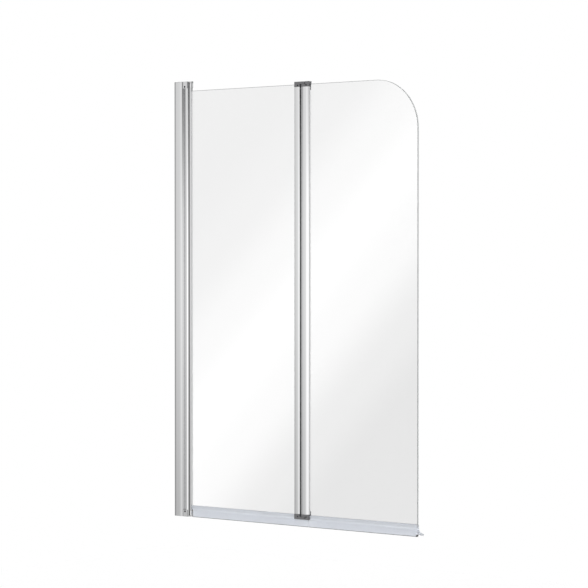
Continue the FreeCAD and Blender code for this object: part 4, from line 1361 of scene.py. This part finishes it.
@dataclass
class InnerPanel(Panel):
    """The wall stile, the inner pane and the inner half of the fold hinge.

    Attributes:
        wall_radius: radius of the wall stile's round side.
        wall_tail: end of the wall stile from the wall hinge's axis.
        wall_slot: bottom of its glass slot from the axis.
        bevel: where the bevel on its bath side starts, in degrees round the axis.
        cap_nose: end of its caps from the axis.
        cap_flat: half the flat at the caps' end.
        half: half the thickness of the hinge stile.
        start: start of the hinge stile from the fold hinge's axis.
        end: its flat end from the axis.
        slot: bottom of its glass slot from the axis.
        fin_trims: where the seal's fin is cut back from the two axes.
        seal_trims: where the seal's wiper starts from the wall axis, and its grip ends from the fold axis.
    """

    body: ClassVar[Body] = Body.INNER
    label: ClassVar[str] = "inner"
    wall_radius: float = 8.0
    wall_tail: float = 3.5
    wall_slot: float = -5.5
    bevel: float = 19.0
    cap_nose: float = 3.8
    cap_flat: float = 2.8
    half: float = 10.0
    start: float = -31.5
    end: float = -10.5
    slot: float = -14.0
    fin_trims: tuple[float, float] = (16.0, -33.0)
    seal_trims: tuple[float, float] = (10.0, -32.2)

    def build(self) -> None:
        """Build and dress every piece of the inner panel."""
        self.wall_stile()
        self.pane()
        self.hinge_stile()
        self.blocks()
        self.seal()
        self.keep(Slot.PLASTIC, "wall_pivot_bushes")
        self.keep(Slot.SCREW, "fold_pivot_pins")

    def wall_stile(self) -> None:
        """The slim stile beside the post, its end caps and its gasket."""
        axis, radius, tail = hinge_x(Joint.WALL), self.wall_radius, self.wall_tail
        half, trim, slant = GLASS_SLOT.half, GLASS_SLOT.trim, math.radians(self.bevel)
        bevelled = (-radius * math.sin(slant), radius * math.cos(slant), radius)
        front = [(-radius, 0.0, radius), (0.0, -radius), (tail, -radius)]
        slot = [(tail, -half), (self.wall_slot, -half), (self.wall_slot, half), (tail - trim, half)]
        self.profile("wall_stile_profile", Outline([bevelled, *front, *slot]), "wall_stile", shift=axis)
        nose = Outline([bevelled, *front[:2], (tail, 0.6 - radius), (self.cap_nose, -self.cap_flat),
                        (self.cap_nose, self.cap_flat)])
        for name, node in (("stile_top_cap", "wall_stile_top_cap"),
                           ("stile_foot_cap", "wall_stile_bottom_cap")):
            self.profile(name, nose, node, Slot.CASTING, axis, round_ends=0.5)
        gasket = GLASS_SLOT.gasket(self.wall_slot, tail, trim)
        self.profile("wall_gasket", gasket, "wall_stile_gasket", Slot.STRIP, axis, (GASKET,))

    def hinge_stile(self) -> None:
        """The flat-ended stile with its crowned faces, gasket and soft strip."""
        axis, start, end, half = hinge_x(Joint.FOLD), self.start, self.end, self.half
        section = Outline(mirrored([
            (self.slot, GLASS_SLOT.half), (start, GLASS_SLOT.half), (start, half - 2.4, -2.0),
            (start + 1.7, half - 0.35, -140.0), (end - 3.6, half - 0.15, -14.0), (end - 0.5, half - 0.6),
            (end, half - 1.3), *STRIP_SLOT.slot(end),
        ]))
        self.profile("inner_stile_profile", section, "inner_hinge_stile", shift=axis)
        gasket = GLASS_SLOT.gasket(self.slot, start)
        self.profile("inner_gasket", gasket, "inner_stile_gasket", Slot.STRIP, axis)
        self.profile("hinge_strip", STRIP_SLOT.strip(end), "hinge_seal_strip", Slot.STRIP, axis)

    def seal(self) -> None:
        """The seal under the inner glass, which runs on under the fold hinge."""
        wall, fold = hinge_x(Joint.WALL), hinge_x(Joint.FOLD)
        fin_start, fin_end = self.fin_trims
        wiper_start, grip_end = self.seal_trims
        piece = Seal("inner_seal", "inner_bottom_seal", fin=(wall + fin_start, fold + fin_end),
                     raised=(fold + grip_end, fold + 60.0),
                     shortened=(wall - 5.0, wall + wiper_start)).build()
        self.dress(piece, Slot.SEAL, "inner_bottom_seal", (SEAL, SEAL_EDGE_PAINTED_SHADE))


@dataclass
class OuterPanel(Panel):
    """The outer half of the fold hinge and the outer pane with its large rounded corner.

    Attributes:
        half: half the thickness of the hinge stile, and the radius of its barrel.
        tail: end of the stile from the fold hinge's axis.
        slot: bottom of its glass slot from the axis.
        groove: start of the fine groove beside the barrel, from the axis.
        bevel: where the bevel on the bath side starts, from the tail.
        fin_trim: where the seal's fin starts past the axis.
        grip_trim: where its grip starts past the axis.
        dark_end: length of the dark end piece at its free end.
        wedge: corners, from the axis, of what is taken off the end blocks on the bath side.
    """

    body: ClassVar[Body] = Body.OUTER
    label: ClassVar[str] = "outer"
    corner: float = 150.0
    half: float = 10.0
    tail: float = 24.5
    slot: float = 11.0
    groove: float = 0.4
    bevel: float = 7.3
    fin_trim: float = 33.0
    grip_trim: float = 25.2
    dark_end: float = 7.5
    wedge: tuple[Corner, ...] = ((22.8, 3.3), (30.0, 3.3), (30.0, 12.3), (15.8, 12.3))

    def build(self) -> None:
        """Build and dress every piece of the outer panel."""
        self.hinge_stile()
        self.blocks()
        self.pane()
        self.seal()
        self.keep(Slot.PLASTIC, "fold_pivot_bushes", "fold_washers")

    def hinge_stile(self) -> None:
        """The bullet-shaped stile: a round barrel, a fine groove and a face that rolls off to the glass."""
        axis, half, tail, groove = hinge_x(Joint.FOLD), self.half, self.tail, self.groove
        slot, trim = GLASS_SLOT.half, GLASS_SLOT.trim
        section = Outline([
            (self.slot, slot), (tail - trim, slot), (tail - self.bevel, half - 0.1), (0.0, half - 0.01, half),
            (0.0, -half, 0.0), (groove, -half), (groove + 0.3, 0.9 - half), (groove + 2.7, 0.1 - half),
            (tail - 12.0, 0.1 - half, 44.0), (tail - 1.0, 1.75 - half, 1.3), (tail, 2.9 - half),
            (tail, -slot), (self.slot, -slot),
        ], edge=0.2)
        self.profile("outer_stile_profile", section, "outer_hinge_stile", shift=axis)
        gasket = GLASS_SLOT.gasket(self.slot, tail, trim)
        self.profile("outer_gasket", gasket, "outer_stile_gasket", Slot.STRIP, axis, (GASKET,))

    def block_cutters(self, box: Extent) -> list[bpy.types.Object]:
        """Return the wedge that takes a block's bath side corner off along the stile's bevel."""
        return [extruded("wedge", Outline(self.wedge, edge=0.0), box.low.z - 2, box.high.z + 2,
                         shift=hinge_x(Joint.FOLD), round_ends=0.0)]

    def seal(self) -> None:
        """The seal under the outer glass."""
        fold, end = hinge_x(Joint.FOLD), Extent.of("outer_bottom_seal").high.x
        piece = Seal("outer_seal", "outer_bottom_seal", fin=(fold + self.fin_trim, end + 5.0),
                     raised=(fold - 10.0, fold + self.grip_trim), dark_end=self.dark_end).build()
        self.dress(piece, Slot.SEAL, "outer_bottom_seal", (SEAL, SEAL_EDGE_PAINTED_SHADE, DARK_END_PIECE))


# Studio
@dataclass(frozen=True)
class Viewpoint:
    """The photograph's camera.

    Attributes:
        place: the camera's position, in metres.
        turn: how far it is turned to the left of +Y, in degrees.
        dip: how far it looks down, in degrees.
        focal: focal length, in pixels of a square frame.
        frame: the frame's side, in pixels.
    """

    place: Vector = Vector((4.5312, -5.4737, 0.8238))
    turn: float = 36.561
    dip: float = 0.8638
    focal: float = 2194.0
    frame: float = 588.0

    def basis(self) -> tuple[Vector, Vector, Vector]:
        """Work out the camera's axes.

        Returns:
            Its right, up and forward directions.
        """
        turn, dip = math.radians(self.turn), math.radians(self.dip)
        forward = Vector((-math.sin(turn) * math.cos(dip), math.cos(turn) * math.cos(dip), -math.sin(dip)))
        right = Vector((math.cos(turn), math.sin(turn), 0.0))
        return right, right.cross(forward), forward

    def build(self) -> None:
        """Make the camera and set it as the scene's."""
        data = bpy.data.cameras.new("studio_camera")
        data.sensor_width = 36.0
        data.lens = self.focal / self.frame * data.sensor_width
        data.clip_start, data.clip_end = 0.05, 100.0
        camera = placed("studio_camera", data)
        right, up, forward = self.basis()
        axes = Matrix((right, up, -forward)).transposed()
        camera.matrix_world = Matrix.Translation(self.place) @ axes.to_4x4()
        bpy.context.scene.camera = camera


@dataclass(frozen=True)
class Surroundings:
    """What the bright metal reflects: soft cards round the studio, by azimuth, at three elevations.

    Azimuth 0 is the room side, 90 the screen's free end, 180 the bath side and -90 the wall.

    Attributes:
        high: (azimuth, level) stops from high_from degrees of elevation up.
        middle: stops at the horizon.
        low: stops from low_from degrees of elevation down.
        high_from: elevation in degrees.
        low_from: elevation in degrees.
        flat: half the elevations that show the middle stops alone.
        top: the brightest level.
    """

    high: Stops = (
        (-180, 0.5), (-143, 0.3), (-104, 0.26), (-85, 0.32), (-60, 0.5), (-47, 0.78), (-39, 0.9),
        (-32, 1.0), (-22, 1.1), (-8, 0.85), (5, 0.55), (25, 0.42), (45, 0.34), (60, 0.22), (80, 0.1),
        (110, 0.12), (143, 0.6), (180, 0.6))
    middle: Stops = (
        (-180, 0.6), (-143, 0.5), (-104, 0.3), (-85, 0.33), (-60, 0.5), (-47, 0.76), (-40, 0.88),
        (-36, 0.96), (-32, 1.1), (-26, 1.32), (-18, 1.5), (5, 1.5), (25, 1.3), (50, 0.95), (100, 0.9),
        (143, 1.2), (180, 0.8))
    low: Stops = (
        (-180, 0.4), (-143, 0.3), (-104, 0.25), (-85, 0.28), (-60, 0.4), (-47, 0.53), (-40, 0.61),
        (-36, 0.72), (-28, 1.05), (-18, 1.2), (-3, 1.2), (15, 0.85), (40, 0.7), (70, 0.58), (100, 0.45),
        (143, 0.3), (180, 0.4))
    high_from: float = 4.5
    low_from: float = -7.0
    flat: float = 1.2
    top: float = 2.0

    def level(self, graph: Graph, x: Signal, y: Signal, z: Signal) -> Signal:
        """Return the brightness in a direction: three ramps by azimuth, mixed by the height z.

        Args:
            graph: the world's graph.
            x, y, z: the direction.

        Returns:
            The brightness.
        """
        azimuth = graph.maths("ARCTAN2", x, -y) / (2 * math.pi) + 0.5
        high, middle, low = (
            graph.ramp(azimuth, [((angle + 180) / 360, level / self.top) for angle, level in stops])
            for stops in (self.high, self.middle, self.low))
        up = self._share(z, self.flat, self.high_from)
        down = self._share(-z, self.flat, -self.low_from)
        return self.top * (high * up + low * down + middle * (1 - up - down))

    @staticmethod
    def _share(height: Signal, start: float, full: float) -> Signal:
        """Return 0 below one elevation and 1 above another, both in degrees."""
        first, last = math.sin(math.radians(start)), math.sin(math.radians(full))
        return ((height - first) / (last - first)).maximum(0.0).minimum(1.0)


@dataclass
class Studio:
    """A white studio with soft light and a pale floor.

    Attributes:
        viewpoint: the camera.
        surroundings: what the metal reflects.
        floor_level: height of the floor, in metres.
        floor_reach: how far the floor reaches from the object's middle, in metres.
        floor_glow: how much the floor is lifted to white where the camera sees it.
        band: (place, level) stops of the slanted card that the panes mirror, where place is a
            distance in camera pixels across the card.
        band_top: the card's brightest level.
        slope: how many pixels the card shifts down for each pixel to the right.
    """

    viewpoint: Viewpoint = field(default_factory=Viewpoint)
    surroundings: Surroundings = field(default_factory=Surroundings)
    floor_level: float = -0.6
    floor_reach: float = 3.0
    floor_glow: float = 0.14
    band: Stops = ((0, 1.8), (440, 1.8), (520, 2.3), (600, 3.9), (665, 5.2), (740, 4.2), (830, 1.4),
                   (900, 0.1), (1400, 0.1))
    band_top: float = 6.0
    slope: float = 1.24

    def build(self) -> None:
        """Make the camera, the surroundings and the floor."""
        bpy.context.scene.view_settings.view_transform = "Standard"
        self.viewpoint.build()
        self.world()
        self.floor()

    def world(self) -> None:
        """Light the scene evenly, show white to the camera, and give reflections the soft cards."""
        world = bpy.data.worlds.new("studio")
        bpy.context.scene.world = world
        world.use_nodes = True
        graph = Graph(world.node_tree)
        toward = graph.node("ShaderNodeTexCoord")
        split = graph.node("ShaderNodeSeparateXYZ", None, {"Vector": toward.outputs["Generated"]})
        x, y, z = (graph.signal(split, axis) for axis in "XYZ")
        ray = graph.node("ShaderNodeLightPath")
        sharp, glossy = graph.signal(ray, "Is Singular Ray"), graph.signal(ray, "Is Glossy Ray")
        through = graph.camera_sees()
        soft = self.surroundings.level(graph, x, y, z)
        reflected = self.slanted_card(graph, x, y, z) * sharp + soft * (1 - sharp)
        level = reflected * glossy + (1 - glossy)
        level = through + level * (1 - through)
        background = graph.node("ShaderNodeBackground", None, {
            "Color": (1.0, 1.0, 1.0, 1.0), "Strength": level})
        graph.node("ShaderNodeOutputWorld", None, {"Surface": background.outputs[0]})
        world.cycles.sampling_method = "NONE"

    def slanted_card(self, graph: Graph, x: Signal, y: Signal, z: Signal) -> Signal:
        """Return what the panes mirror: a soft band that slants across the studio behind the camera.

        The band's coordinate is slope times the distance to the right plus the distance down, as the
        camera sees them mirrored in the plane Y = 0.

        Args:
            graph: the world's graph.
            x, y, z: the direction.

        Returns:
            The brightness.
        """
        right, up, _ = self.viewpoint.basis()
        fall = self.slope * right - up
        across = x * fall.x - y * fall.y + z * fall.z
        reach = self.band[-1][0]
        middle = self.viewpoint.frame / 2 * (1 + self.slope)
        place = (across * self.viewpoint.focal + middle) / reach
        stops = [(band / reach, level / self.band_top) for band, level in self.band]
        return self.band_top * graph.ramp(place, stops, "EASE")

    def floor(self) -> None:
        """Lay the pale floor, which renders white to the camera and keeps soft shadows."""
        middle = Extent.of("outer_glass").high.x * MM / 2
        corners = [(middle + sx * self.floor_reach, sy * self.floor_reach, self.floor_level)
                   for sx, sy in ((-1, -1), (1, -1), (1, 1), (-1, 1))]
        mesh = bpy.data.meshes.new("studio_floor")
        mesh.from_pydata(corners, [], [(0, 1, 2, 3)])
        floor = placed("studio_floor", mesh)
        material = bpy.data.materials.new("pale_floor")
        material.use_nodes = True
        graph = Graph(material.node_tree)
        speck = graph.noise(graph.position(), 30.0)
        shader = graph.node("ShaderNodeBsdfPrincipled", None, {
            "Base Color": graph.tint(speck, (0.88, 0.88, 0.88), (0.9, 0.9, 0.9)), "Roughness": 0.9,
            "Emission Color": (1.0, 1.0, 1.0, 1.0),
            "Emission Strength": graph.camera_sees() * self.floor_glow})
        graph.node("ShaderNodeOutputMaterial", None, {"Surface": shader.outputs["BSDF"]})
        mesh.materials.append(material)


def main() -> None:
    """Build the whole scene."""
    logging.basicConfig(level=logging.INFO, format="%(name)s: %(message)s")
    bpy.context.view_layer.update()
    Studio().build()
    for part in (WallSide(), InnerPanel(), OuterPanel()):
        part.build()


if __name__ == "__main__":
    main()
